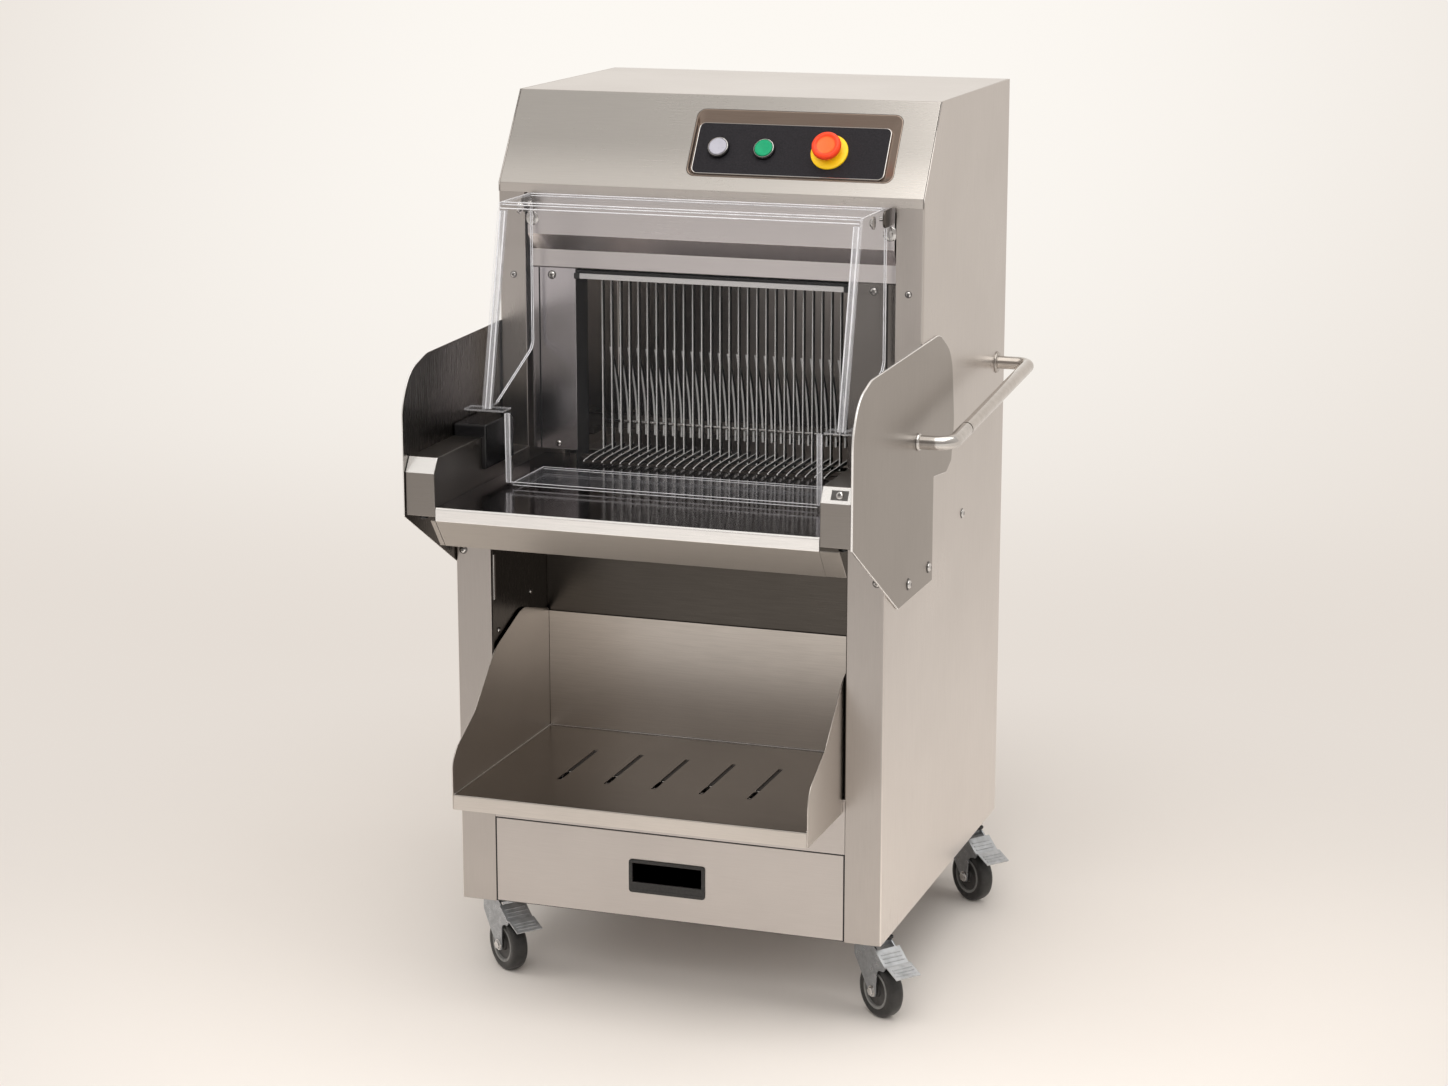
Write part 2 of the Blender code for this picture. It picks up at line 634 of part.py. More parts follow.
def turned(name, axis, place, profile, parent=MACHINE, steps=ROUND_SIDES):
    """A turned piece: (radius, height) points down its outer side, about an axis through place."""
    mesh = bpy.data.meshes.new(name)
    closed = profile[0][0] > 0
    edges = [(index, index + 1) for index in range(len(profile) - 1)]
    if closed:
        edges.append((len(profile) - 1, 0))
    mesh.from_pydata([(radius, 0.0, height) for radius, height in profile], edges, [])
    item = new_object(name, mesh, place, parent)
    item.rotation_euler = AXIS_TURN[axis].to_euler()
    screw = item.modifiers.new("Screw", "SCREW")
    screw.steps = steps
    screw.render_steps = steps
    screw.use_merge_vertices = True
    screw.merge_threshold = GAP / 10
    return item


def tube(name, points, radius, parent=MACHINE, resolution=3):
    """A round bar along a path of points."""
    curve = bpy.data.curves.new(name, "CURVE")
    curve.dimensions = "3D"
    curve.bevel_depth = radius
    curve.bevel_resolution = resolution
    curve.use_fill_caps = True
    spline = curve.splines.new("POLY")
    spline.points.add(len(points) - 1)
    for point, place in zip(spline.points, points):
        point.co = (*place, 1.0)
    shape = bpy.data.objects.new(name, curve)
    PARTS.objects.link(shape)
    return new_object(name, mesh_of_curve(shape), (0.0, 0.0, 0.0), parent)


def bend(before, corner, after, radius, steps):
    """Points round a bend of a path in space."""
    to_before = (Vector(before) - Vector(corner)).normalized()
    to_after = (Vector(after) - Vector(corner)).normalized()
    half = to_before.angle(to_after) / 2
    reach = radius / math.tan(half)
    centre = Vector(corner) + (to_before + to_after).normalized() * (radius / math.sin(half))
    start = Vector(corner) + to_before * reach - centre
    end = Vector(corner) + to_after * reach - centre
    axis = start.cross(end)
    turn = start.angle(end)
    return [tuple(centre + Quaternion(axis, turn * step / steps) @ start) for step in range(steps + 1)]


def use_tool(item, tool, operation):
    for group in list(tool.users_collection):
        group.objects.unlink(tool)
    CUTTERS.objects.link(tool)
    tool.hide_render = True
    tool.display_type = "WIRE"
    change = item.modifiers.new(operation.title(), "BOOLEAN")
    change.operation = operation
    change.solver = "EXACT"
    change.object = tool


def cut(item, *tools):
    for tool in tools:
        use_tool(item, tool, "DIFFERENCE")


def join(item, *tools):
    for tool in tools:
        use_tool(item, tool, "UNION")


def move_origin(item, place):
    """Put an object's origin at a place of its parent's frame, with its shape where it was."""
    shift = Vector(place) - item.location
    item.data.transform(Matrix.Translation(-(item.rotation_euler.to_matrix().inverted() @ shift)))
    item.location = place


def smooth(item):
    item.data.shade_smooth()
    item.data.set_sharp_from_angle(angle=ROUND_SHARP)


def finish(item, colour, roughness, metallic):
    """Give a piece its own material."""
    material = bpy.data.materials.new(item.name)
    material.use_nodes = True
    shader = material.node_tree.nodes["Principled BSDF"]
    shader.inputs["Base Color"].default_value = (*colour, 1.0)
    shader.inputs["Roughness"].default_value = roughness
    shader.inputs["Metallic"].default_value = metallic
    item.data.materials.append(material)
    return item


def steel(item):
    return finish(item, (0.62, 0.58, 0.54), 0.35, 1.0)


def dark_steel(item):
    return finish(item, (0.10, 0.09, 0.08), 0.4, 0.8)


def blade_steel(item):
    return finish(item, (0.45, 0.44, 0.43), 0.25, 1.0)


def zinc(item):
    return finish(item, (0.60, 0.61, 0.63), 0.4, 1.0)


def black_plastic(item):
    return finish(item, (0.02, 0.02, 0.02), 0.45, 0.0)


def coloured_plastic(item, colour):
    return finish(item, colour, 0.35, 0.0)


def painted(item):
    return finish(item, (0.12, 0.14, 0.17), 0.5, 0.0)


def clear_plastic(item):
    finish(item, (0.90, 0.93, 0.95), 0.05, 0.0)
    shader = item.data.materials[0].node_tree.nodes["Principled BSDF"]
    shader.inputs["Transmission Weight"].default_value = 0.9
    return item


# Cabinet panels

def side_outline():
    """The side sheet; its front edges lie half a sheet behind the flanges' faces."""
    edge = SHEET / 2
    lip_foot = SLOPE_FOOT - LIP_DROP
    return [(edge, BODY_BOTTOM), (BODY_DEPTH, BODY_BOTTOM), (BODY_DEPTH, BODY_TOP), (ROOF_FRONT, BODY_TOP),
            (STEP_FRONT, SLOPE_FOOT), (STEP_FRONT, lip_foot), (STEP_FRONT + edge, lip_foot),
            (STEP_FRONT + edge, POST_TOP), (edge, POST_TOP)]


def side_panel(name, side):
    """One sheet with a flange beside the bay and a narrower one beside the throat."""
    sheet = plate(name, "X", side_outline(), (side * SIDE_INNER, side * BODY_HALF_WIDTH))
    outer = side * (BODY_HALF_WIDTH - GAP)
    post = block(name + "_post", (side * POST_INNER, outer), (0.0, SHEET),
                 (BODY_BOTTOM + GAP, POST_TOP - GAP))
    upper_inner = side * (BODY_HALF_WIDTH - UPPER_FLANGE_WIDTH)
    upper = block(name + "_flange", (upper_inner, outer), (STEP_FRONT, STEP_FRONT + SHEET),
                  (POST_TOP + GAP, SLOPE_FOOT - LIP_DROP - GAP))
    join(sheet, post, upper)
    return steel(sheet)


def make_side_panels():
    side_panel("side_panel_left", -1)
    right = side_panel("side_panel_right", 1)
    hole = rod("lever_hole", "X", (0.0, LEVER_BACK, LEVER_HEIGHT), BUSH_RADIUS + GAP,
               (SIDE_INNER - CUT_MARGIN, BODY_HALF_WIDTH + CUT_MARGIN))
    cut(right, hole)


def make_rear_panel():
    inside = BODY_TOP - SHEET - GAP
    steel(block("rear_panel", (-FIT_HALF_WIDTH, FIT_HALF_WIDTH), (BODY_DEPTH - SHEET, BODY_DEPTH),
                (BODY_BOTTOM + GAP, inside)))


def make_top_hood():
    path = [(STEP_FRONT, SLOPE_FOOT - LIP_DROP), (STEP_FRONT, SLOPE_FOOT), (ROOF_FRONT, BODY_TOP),
            (BODY_DEPTH, BODY_TOP)]
    hood = plate("top_hood", "X", strip(path, SHEET), (-FIT_HALF_WIDTH, FIT_HALF_WIDTH))
    opening = plate("recess_opening", "Z", recess_rim(GAP), (-RECESS_DEPTH, RECESS_DEPTH), CONTROL_FACE)
    cut(hood, opening)
    steel(hood)


def recess_rim(grow=0.0):
    return rounded(rectangle((RECESS_LEFT - grow, RECESS_RIGHT + grow),
                             (RECESS_LOW - grow, RECESS_HIGH + grow)),
                   RECESS_CORNER + grow)


def recess_floor(shrink=0.0):
    """The outline of the recess's floor, which lies inside the rim by its slanted walls."""
    x = (RECESS_LEFT + RECESS_SLANT + shrink, RECESS_RIGHT - RECESS_SLANT_RIGHT - shrink)
    y = (RECESS_LOW + RECESS_SLANT + shrink, RECESS_HIGH - RECESS_SLANT_HIGH - shrink)
    return rounded(rectangle(x, y), RECESS_CORNER - RECESS_SLANT)


def loft(name, upper, upper_at, lower, lower_at, parent):
    """A closed solid between two outlines with as many points."""
    work = bmesh.new()
    top = [work.verts.new((x, y, upper_at)) for x, y in upper]
    low = [work.verts.new((x, y, lower_at)) for x, y in lower]
    work.faces.new(top)
    work.faces.new(list(reversed(low)))
    for index in range(len(top)):
        after = (index + 1) % len(top)
        work.faces.new((top[index], low[index], low[after], top[after]))
    bmesh.ops.recalc_face_normals(work, faces=work.faces)
    return new_object(name, mesh_from(work), (0.0, 0.0, 0.0), parent)


CONTROLS = (WHITE_AT, GREEN_AT, STOP_AT)


def barrel_holes(name, low, high):
    work = bmesh.new()
    for at in CONTROLS:
        add_rod(work, "Z", (at, CONTROL_HEIGHT, 0.0), BARREL_RADIUS + GAP, (low, high))
    return new_object(name, mesh_from(work), (0.0, 0.0, 0.0), CONTROL_FACE)


def make_control_recess():
    """A pressed tray whose walls slant in from the rim, and the dark plate on its floor."""
    tray = plate("control_recess", "Z", recess_rim(), (-RECESS_DEPTH, 0.0), CONTROL_FACE)
    floor_at = -RECESS_DEPTH + RECESS_WALL
    hollow = loft("recess_hollow", recess_rim(-RECESS_WALL), GAP, recess_floor(), floor_at, CONTROL_FACE)
    cut(tray, hollow, barrel_holes("recess_holes", -RECESS_DEPTH - CUT_MARGIN, 0.0))
    steel(tray)
    dark = plate("control_plate", "Z", recess_floor(PLATE_MARGIN),
                 (floor_at + GAP, floor_at + GAP + PLATE_THICKNESS),
                 CONTROL_FACE)
    cut(dark, barrel_holes("plate_holes", -RECESS_DEPTH - CUT_MARGIN, 0.0))
    black_plastic(dark)


PLATE_FACE = -RECESS_DEPTH + RECESS_WALL + GAP + PLATE_THICKNESS + GAP


def push_button(name, at, colour):
    """A threaded barrel with its bezel, and the cap with its stem, which moves down in it."""
    place = (at, CONTROL_HEIGHT, PLATE_FACE)
    bore = CAP_STEM_RADIUS + RUN_GAP
    cap_hole = CAP_RADIUS + RUN_GAP
    bezel = turned(name + "_bezel", "Z", place, [
        (cap_hole, BEZEL_HEIGHT), (BEZEL_RADIUS - BEZEL_EDGE, BEZEL_HEIGHT),
        (BEZEL_RADIUS, BEZEL_HEIGHT - BEZEL_EDGE), (BEZEL_RADIUS, 0.0), (BARREL_RADIUS, 0.0),
        (BARREL_RADIUS, -BARREL_LENGTH), (bore, -BARREL_LENGTH), (bore, BEZEL_FLOOR),
        (cap_hole, BEZEL_FLOOR)], CONTROL_FACE)
    black_plastic(bezel)
    top = BEZEL_HEIGHT + CAP_RISE
    foot = BEZEL_FLOOR + BUTTON_TRAVEL + RUN_GAP
    cap = turned(name + "_cap", "Z", place, [
        (0.0, top), (CAP_RADIUS - BEZEL_EDGE, top), (CAP_RADIUS, top - BEZEL_EDGE), (CAP_RADIUS, foot),
        (CAP_STEM_RADIUS, foot), (CAP_STEM_RADIUS, -BARREL_LENGTH + BUTTON_TRAVEL),
        (0.0, -BARREL_LENGTH + BUTTON_TRAVEL)], CONTROL_FACE)
    coloured_plastic(cap, colour)


def make_buttons():
    push_button("white_button", WHITE_AT, (0.75, 0.75, 0.80))
    push_button("green_button", GREEN_AT, (0.0, 0.35, 0.15))


def make_stop_button():
    """The emergency stop: a yellow collar and a red mushroom head that is pushed in."""
    place = (STOP_AT, CONTROL_HEIGHT, PLATE_FACE)
    bore = CAP_STEM_RADIUS + RUN_GAP
    collar = turned("stop_collar", "Z", place, [
        (bore, COLLAR_HEIGHT), (COLLAR_RADIUS - COLLAR_HEIGHT / 2, COLLAR_HEIGHT),
        (COLLAR_RADIUS, COLLAR_HEIGHT / 2),
        (COLLAR_RADIUS, 0.0), (BARREL_RADIUS, 0.0), (BARREL_RADIUS, -BARREL_LENGTH),
        (bore, -BARREL_LENGTH)],
        CONTROL_FACE)
    coloured_plastic(collar, (0.85, 0.60, 0.02))
    crown_foot = COLLAR_HEIGHT + STOP_NECK - STOP_CROWN / 2
    top = crown_foot + STOP_CROWN
    neck_foot = COLLAR_HEIGHT + STOP_TRAVEL + RUN_GAP
    head = turned("stop_head", "Z", place, [
        (0.0, top - STOP_DISH), (STOP_RADIUS - STOP_CROWN / 2, top),
        (STOP_RADIUS - STOP_DISH / 2, top - STOP_DISH),
        (STOP_RADIUS, top - STOP_CROWN / 2), (STOP_RADIUS - STOP_DISH, crown_foot),
        (STOP_NECK_RADIUS, crown_foot),
        (STOP_NECK_RADIUS, neck_foot), (CAP_STEM_RADIUS, neck_foot),
        (CAP_STEM_RADIUS, -BARREL_LENGTH + STOP_TRAVEL), (0.0, -BARREL_LENGTH + STOP_TRAVEL)], CONTROL_FACE)
    coloured_plastic(head, (0.75, 0.05, 0.02))


# Header, fascias and throat

def make_header_panel():
    """The bent panel under the hood, with the two lugs and pins that carry the guard."""
    path = [(HEADER_RETURN, BEAM_FOOT), (BEAM_FRONT, BEAM_FOOT), (BEAM_FRONT, BEAM_TOP),
            (HEADER_FRONT, HEADER_BAND_FOOT), (HEADER_FRONT, SLOPE_FOOT - LIP_DROP + HEADER_OVERLAP)]
    header = plate("header_panel", "X", strip(path, THIN_SHEET), (-HEADER_HALF_WIDTH, HEADER_HALF_WIDTH))
    lug_inner = GUARD_HALF_WIDTH + GUARD_SHEET / 2 + RUN_GAP
    lug_front = GUARD_PIVOT_BACK - LUG_REACH
    for side in (-1, 1):
        lug = block("guard_lug", (side * lug_inner, side * (lug_inner + LUG_THICKNESS)),
                    (lug_front, HEADER_FRONT + OVERLAP),
                    (GUARD_PIVOT_HEIGHT - LUG_REACH, GUARD_PIVOT_HEIGHT + LUG_REACH))
        pin = rod("guard_pin", "X", (0.0, GUARD_PIVOT_BACK, GUARD_PIVOT_HEIGHT), GUARD_PIN_RADIUS,
                  (side * (lug_inner - RUN_GAP - GUARD_SHEET - GUARD_PIN_RADIUS),
                   side * (lug_inner + OVERLAP)))
        join(header, lug, pin)
    steel(header)


def make_fascias():
    for name, side in (("fascia_left", -1), ("fascia_right", 1)):
        steel(block(name, (side * THROAT_HALF_WIDTH, side * HEADER_HALF_WIDTH),
                    (BEAM_FRONT, BEAM_FRONT + THIN_SHEET), (FASCIA_FOOT, BEAM_FOOT - GAP)))


def make_throat_frame():
    """Dark walls at both sides of the blades and over them, from the fascias back."""
    front = BEAM_FRONT + THIN_SHEET + GAP
    span = (front, BLADE_FRAME_FRONT - THIN_SHEET)
    outer = THROAT_HALF_WIDTH + THROAT_WALL
    foot = TABLE_TOP + GAP
    outline = [(-outer, foot), (-THROAT_HALF_WIDTH, foot), (-THROAT_HALF_WIDTH, THROAT_TOP),
               (THROAT_HALF_WIDTH, THROAT_TOP), (THROAT_HALF_WIDTH, foot), (outer, foot),
               (outer, BEAM_FOOT - THIN_SHEET - FASCIA_GAP), (-outer, BEAM_FOOT - THIN_SHEET - FASCIA_GAP)]
    dark_steel(plate("throat_frame", "Y", outline, span))


# Blades

def blade_positions():
    first = -BLADE_PITCH * (BLADE_COUNT - 1) / 2
    return [first + BLADE_PITCH * index for index in range(BLADE_COUNT)]


def blade_outline(at_front):
    """A blade from the side: full depth in the throat, and narrow tabs at its ends."""
    back = BLADE_FRONT + BLADE_DEPTH
    low = FRAME_LOW + BEAM_HEIGHT / 2
    high = FRAME_HIGH - BEAM_HEIGHT / 2
    if at_front:
        tab = BLADE_FRONT + BLADE_TAB
        return [(BLADE_FRONT, low), (tab, low), (tab, BLADE_LOW), (back, BLADE_LOW), (back, BLADE_HIGH),
                (tab, BLADE_HIGH), (tab, high), (BLADE_FRONT, high)]
    tab = back - BLADE_TAB
    return [(tab, low), (back, low), (back, high), (tab, high), (tab, BLADE_HIGH),
            (BLADE_FRONT, BLADE_HIGH),
            (BLADE_FRONT, BLADE_LOW), (tab, BLADE_LOW)]


def repeat(name, piece, places, parent=MACHINE):
    """One object with a copy of a piece at each X place; the piece itself is removed."""
    work = bmesh.new()
    for place in places:
        start = len(work.verts)
        work.from_mesh(piece.data)
        work.verts.ensure_lookup_table()
        bmesh.ops.translate(work, verts=work.verts[start:], vec=(place, 0.0, 0.0))
    where = piece.location.copy()
    bpy.data.objects.remove(piece, do_unlink=True)
    return new_object(name, mesh_from(work), where, parent)


def blade_frame(name, at_front, wrist_side):
    """A frame of two beams and two stiles, with every second blade and the wrist pin's lug."""
    front = BLADE_FRAME_FRONT if at_front else BLADE_FRONT + BLADE_DEPTH - BLADE_TAB
    y = (front, front + FRAME_DEPTH)
    inner = FRAME_HALF_WIDTH - STILE_WIDTH
    outline = rectangle((-FRAME_HALF_WIDTH, FRAME_HALF_WIDTH), (FRAME_LOW, FRAME_HIGH))
    frame = plate(name, "Y", outline, y)
    window = block(name + "_window", (-inner, inner), (y[0] - CUT_MARGIN, y[1] + CUT_MARGIN),
                   (FRAME_LOW + BEAM_HEIGHT, FRAME_HIGH - BEAM_HEIGHT))
    cut(frame, window)
    places = blade_positions()[0 if at_front else 1::2]
    blade = plate(name + "_blade", "X", blade_outline(at_front),
                  (-BLADE_THICKNESS / 2, BLADE_THICKNESS / 2))
    join(frame, repeat(name + "_blades", blade, places))
    wrist_back = (y[0] + y[1]) / 2
    lug_in = rod_inner() + ROD_THICKNESS + GAP
    half = ROD_SMALL_RADIUS
    lug = block(name + "_lug", (wrist_side * lug_in, wrist_side * (lug_in + FRAME_LUG)),
                (wrist_back - FRAME_DEPTH / 2 + OVERLAP, wrist_back + FRAME_DEPTH / 2 - OVERLAP),
                (FRAME_LOW - WRIST_DROP - half, FRAME_LOW + OVERLAP))
    pin = rod(name + "_pin", "X", (0.0, wrist_back, FRAME_LOW - WRIST_DROP), ROD_PIN_RADIUS,
              (wrist_side * rod_inner(), wrist_side * (lug_in + OVERLAP)))
    join(frame, lug, pin)
    blade_steel(frame)


def make_blade_frames():
    blade_frame("blade_frame_front", True, -1)
    blade_frame("blade_frame_rear", False, 1)


def blade_guide(name, side):
    """An upright channel that holds the stiles of both blade frames, with a web to the side panel."""
    front = BLADE_FRAME_FRONT - GAP
    back = BLADE_FRONT + BLADE_DEPTH - BLADE_TAB + FRAME_DEPTH + GAP
    seat = FRAME_HALF_WIDTH + GAP
    lip = FRAME_HALF_WIDTH - GUIDE_GRIP
    wall = seat + GUIDE_WALL
    outline = [(lip, front - GUIDE_WALL), (FIT_HALF_WIDTH, front - GUIDE_WALL), (FIT_HALF_WIDTH, front),
               (wall, front), (wall, back + GUIDE_WALL), (lip, back + GUIDE_WALL), (lip, back),
               (seat, back),
               (seat, front), (lip, front)]
    steel(plate(name, "Z", [(side * x, y) for x, y in outline], (GUIDE_LOW, GUIDE_HIGH)))


def make_blade_guides():
    blade_guide("blade_guide_left", -1)
    blade_guide("blade_guide_right", 1)


# Infeed table, arms and wings

def make_infeed_table():
    """One bent sheet: the table, its rolled front edge and the apron that slants back under it."""
    back = BLADE_FRAME_FRONT - TABLE_BACK_GAP
    path = [(APRON_FRONT, APRON_FOOT), (TABLE_FRONT, TABLE_BAND_FOOT), (TABLE_FRONT, TABLE_TOP),
            (back, TABLE_TOP)]
    half = BODY_HALF_WIDTH - ARM_WIDTH - 2 * GAP
    steel(plate("infeed_table", "X", strip(path, TABLE_SHEET), (-half, half)))


def gap_positions():
    return [place + BLADE_PITCH / 2 for place in blade_positions()[:-1]]


def make_table_comb():
    """Fingers that carry the loaf between the blades, on a bar that lies on the table."""
    low = TABLE_TOP + COMB_LIFT
    bar = block("table_comb", (-THROAT_HALF_WIDTH + GAP, THROAT_HALF_WIDTH - GAP),
                (COMB_BAR_BACK - COMB_BAR_DEPTH, COMB_BAR_BACK), (TABLE_TOP + GAP, low + OVERLAP))
    work = bmesh.new()
    for place in gap_positions():
        add_block(work, (place - COMB_FINGER_WIDTH / 2, place + COMB_FINGER_WIDTH / 2),
                  (COMB_FRONT, COMB_BACK),
                  (low, low + COMB_FINGER_HEIGHT))
    join(bar, new_object("comb_fingers", mesh_from(work)))
    dark_steel(bar)


def arm(name, side):
    """A channel beside the table, chamfered in front, lower where the guard block stands."""
    inner = BODY_HALF_WIDTH - ARM_WIDTH
    outline = [(TABLE_FRONT, ARM_FOOT), (ARM_BACK, ARM_FOOT), (ARM_BACK, ARM_STEP_TOP),
               (BLOCK_FRONT - GAP, ARM_STEP_TOP), (BLOCK_FRONT - GAP, ARM_TOP),
               (TABLE_FRONT + ARM_CHAMFER, ARM_TOP), (TABLE_FRONT, ARM_FACE_TOP)]
    channel = plate(name, "X", outline, (side * inner, side * BODY_HALF_WIDTH))
    hollow = block(name + "_hollow", (side * (inner + SHEET), side * (BODY_HALF_WIDTH - SHEET)),
                   (TABLE_FRONT + SHEET, ARM_BACK - SHEET), (ARM_FOOT - CUT_MARGIN, ARM_STEP_TOP - SHEET))
    cut(channel, hollow)
    steel(channel)


def guard_block(name, side):
    """The black block on which the guard's foot rests."""
    outer = BODY_HALF_WIDTH - GAP
    outline = [(BLOCK_FRONT, ARM_STEP_TOP + GAP), (BLOCK_BACK, ARM_STEP_TOP + GAP),
               (BLOCK_BACK, BLOCK_TOP - BLOCK_CHAMFER), (BLOCK_BACK - BLOCK_CHAMFER, BLOCK_TOP),
               (BLOCK_FRONT, BLOCK_TOP)]
    black_plastic(plate(name, "X", outline, (side * BLOCK_INNER, side * outer)))


def wing_outline():
    rises = [(WING_FRONT, -WING_NOSE_DROP), (WING_FRONT, WING_FRONT_RISE),
             (WING_SHOULDER_BACK, WING_SHOULDER_RISE),
             (WING_TOP_FRONT_BACK, WING_TOP_FRONT_RISE), (WING_TOP_BACK_FRONT, WING_TOP_BACK_RISE),
             (WING_REAR_SHOULDER, WING_REAR_RISE), (WING_BACK, WING_BACK_RISE),
             (WING_HOOK_BACK, WING_HOOK_RISE),
             (WING_HOOK_FRONT, -WING_HOOK_DROP), (WING_TAIL_BACK, WING_TAIL_RISE),
             (WING_TAIL_BACK, -WING_TAIL_DROP), (WING_TAIL_FRONT, -WING_TAIL_DROP)]
    big = WING_ROUND
    radii = [0.0, big, big, big, big, big, big, WING_HOOK_ROUND, 0.0, 0.0, 0.0, 0.0]
    return rounded([(back, TABLE_TOP + rise) for back, rise in rises], radii, FILLET_STEPS + 1)


def make_table_sides():
    for end, side in (("left", -1), ("right", 1)):
        arm("arm_" + end, side)
        guard_block("guard_block_" + end, side)
        inner = BODY_HALF_WIDTH + GAP
        steel(plate("wing_" + end, "X", wing_outline(), (side * inner, side * (inner + WING_THICKNESS))))


# Clear guard

def make_clear_guard():
    """The swing-up guard: a bent sheet with side panels, a lower panel with its flange, and feet."""
    low = TABLE_TOP + GUARD_FLANGE_LIFT
    path = [(GUARD_KNEE, GUARD_KNEE_HEIGHT), (GUARD_TOP_FRONT, GUARD_TOP), (GUARD_TOP_BACK, GUARD_TOP)]
    half = GUARD_HALF_WIDTH
    guard = plate("clear_guard", "X", strip(path, GUARD_SHEET), (-half, half))
    lower_path = [(GUARD_FLANGE_BACK, low), (GUARD_LOW_FRONT, low),
                  (GUARD_KNEE + 2 * OVERLAP, GUARD_KNEE_HEIGHT + GUARD_SHEET / 4)]
    lower = plate("guard_lower", "X", strip(lower_path, GUARD_SHEET),
                  (-GUARD_LOW_HALF_WIDTH, GUARD_LOW_HALF_WIDTH))
    join(guard, lower)
    for side in (-1, 1):
        outline = [(GUARD_KNEE + OVERLAP, GUARD_KNEE_HEIGHT + OVERLAP),
                   (GUARD_SIDE_FOOT_BACK, GUARD_KNEE_HEIGHT + OVERLAP),
                   (GUARD_SIDE_BACK, GUARD_SIDE_CORNER),
                   (GUARD_SIDE_BACK, GUARD_PIVOT_HEIGHT + GUARD_PIN_RADIUS),
                   (GUARD_TOP_BACK - OVERLAP, GUARD_TOP - OVERLAP),
                   (GUARD_TOP_FRONT + OVERLAP, GUARD_TOP - OVERLAP)]
        outer = side * (half + GUARD_SHEET / 2)
        panel = plate("guard_side", "X", outline, (side * (half - GUARD_SHEET / 2), outer))
        foot = block("guard_foot", (side * (half - GUARD_FOOT_DEPTH), side * (half + GUARD_FOOT_REACH)),
                     (GUARD_KNEE + OVERLAP, GUARD_KNEE + GUARD_FOOT_DEPTH),
                     (GUARD_KNEE_HEIGHT - GUARD_SHEET / 2, GUARD_KNEE_HEIGHT + GUARD_SHEET / 2))
        join(guard, panel, foot)
    hole = rod("guard_hole", "X", (0.0, GUARD_PIVOT_BACK, GUARD_PIVOT_HEIGHT), GUARD_PIN_RADIUS + GAP,
               (-half - GUARD_FOOT_REACH, half + GUARD_FOOT_REACH))
    cut(guard, hole)
    move_origin(guard, (0.0, GUARD_PIVOT_BACK, GUARD_PIVOT_HEIGHT))
    clear_plastic(guard)


# Lever, link and pusher

def lever_tip():
    return (LEVER_BACK - LEVER_ARM_LENGTH * math.cos(LEVER_ARM_RISE),
            LEVER_HEIGHT + LEVER_ARM_LENGTH * math.sin(LEVER_ARM_RISE))


def arm_outer():
    return SIDE_INNER - LEVER_ARM_INSET


def link_inner():
    return PUSHER_LUG_OUT + RUN_GAP


def make_lever_handle():
    """The bar handle: its rear leg turns in the bush, and its front end turns in to a small flange."""
    inner_end = (arm_outer() - LEVER_ARM_THICKNESS - GAP, LEVER_BACK, LEVER_HEIGHT)
    rear_corner = (HANDLE_OUT, LEVER_BACK, LEVER_HEIGHT)
    front_corner = (HANDLE_OUT, HANDLE_FRONT, HANDLE_FRONT_HEIGHT)
    front_end = (WING_OUTER + GAP + HANDLE_FLANGE / 2, HANDLE_FRONT, HANDLE_FRONT_HEIGHT)
    points = ([inner_end] + bend(inner_end, rear_corner, front_corner, HANDLE_CORNER, 4)
              + bend(rear_corner, front_corner, front_end, HANDLE_ELBOW, 5) + [front_end])
    handle = tube("lever_handle", points, HANDLE_RADIUS)
    flange_in = WING_OUTER + GAP
    flange = rod("handle_flange", "X", (0.0, HANDLE_FRONT, HANDLE_FRONT_HEIGHT), HANDLE_FLANGE_RADIUS,
                 (flange_in, flange_in + HANDLE_FLANGE))
    join(handle, flange)
    move_origin(handle, (0.0, LEVER_BACK, LEVER_HEIGHT))
    smooth(handle)
    steel(handle)


def make_lever_bush():
    bore = HANDLE_RADIUS + GAP
    foot = -SHEET - BUSH_FLANGE
    bush = turned("lever_bush", "X", (BODY_HALF_WIDTH + GAP, LEVER_BACK, LEVER_HEIGHT), [
        (bore, BUSH_FLANGE), (BUSH_FLANGE_RADIUS, BUSH_FLANGE), (BUSH_FLANGE_RADIUS, 0.0),
        (BUSH_RADIUS, 0.0),
        (BUSH_RADIUS, foot), (bore, foot)])
    dark_steel(bush)


def make_lever_arm():
    """The arm clamped on the lever's inner end, and its pin, which stops just short of the link."""
    hub = (LEVER_BACK, LEVER_HEIGHT)
    x = (arm_outer() - LEVER_ARM_THICKNESS, arm_outer())
    item = plate("lever_arm", "X", link_outline(hub, LEVER_HUB_RADIUS, lever_tip(), LINK_EYE_RADIUS), x)
    hole = rod("hub_hole", "X", (0.0, *hub), HANDLE_RADIUS + GAP, (x[0] - CUT_MARGIN, x[1] + CUT_MARGIN))
    cut(item, hole)
    pin_end = link_inner() + LINK_THICKNESS + LINK_OPEN_GAP
    join(item, rod("arm_pin", "X", (0.0, *lever_tip()), LINK_PIN_RADIUS, (pin_end, x[0] + OVERLAP)))
    move_origin(item, (0.0, LEVER_BACK, LEVER_HEIGHT))
    zinc(item)


def make_pusher_link():
    start = (PUSHER_PIN_BACK, PUSHER_PIN_HEIGHT)
    x = (link_inner(), link_inner() + LINK_THICKNESS)
    item = plate("pusher_link", "X", link_outline(start, LINK_EYE_RADIUS, lever_tip(), LINK_EYE_RADIUS), x)
    for place in (start, lever_tip()):
        cut(item, rod("link_hole", "X", (0.0, *place), LINK_PIN_RADIUS + GAP,
                      (x[0] - CUT_MARGIN, x[1] + CUT_MARGIN)))
    move_origin(item, (0.0, PUSHER_PIN_BACK, PUSHER_PIN_HEIGHT))
    zinc(item)


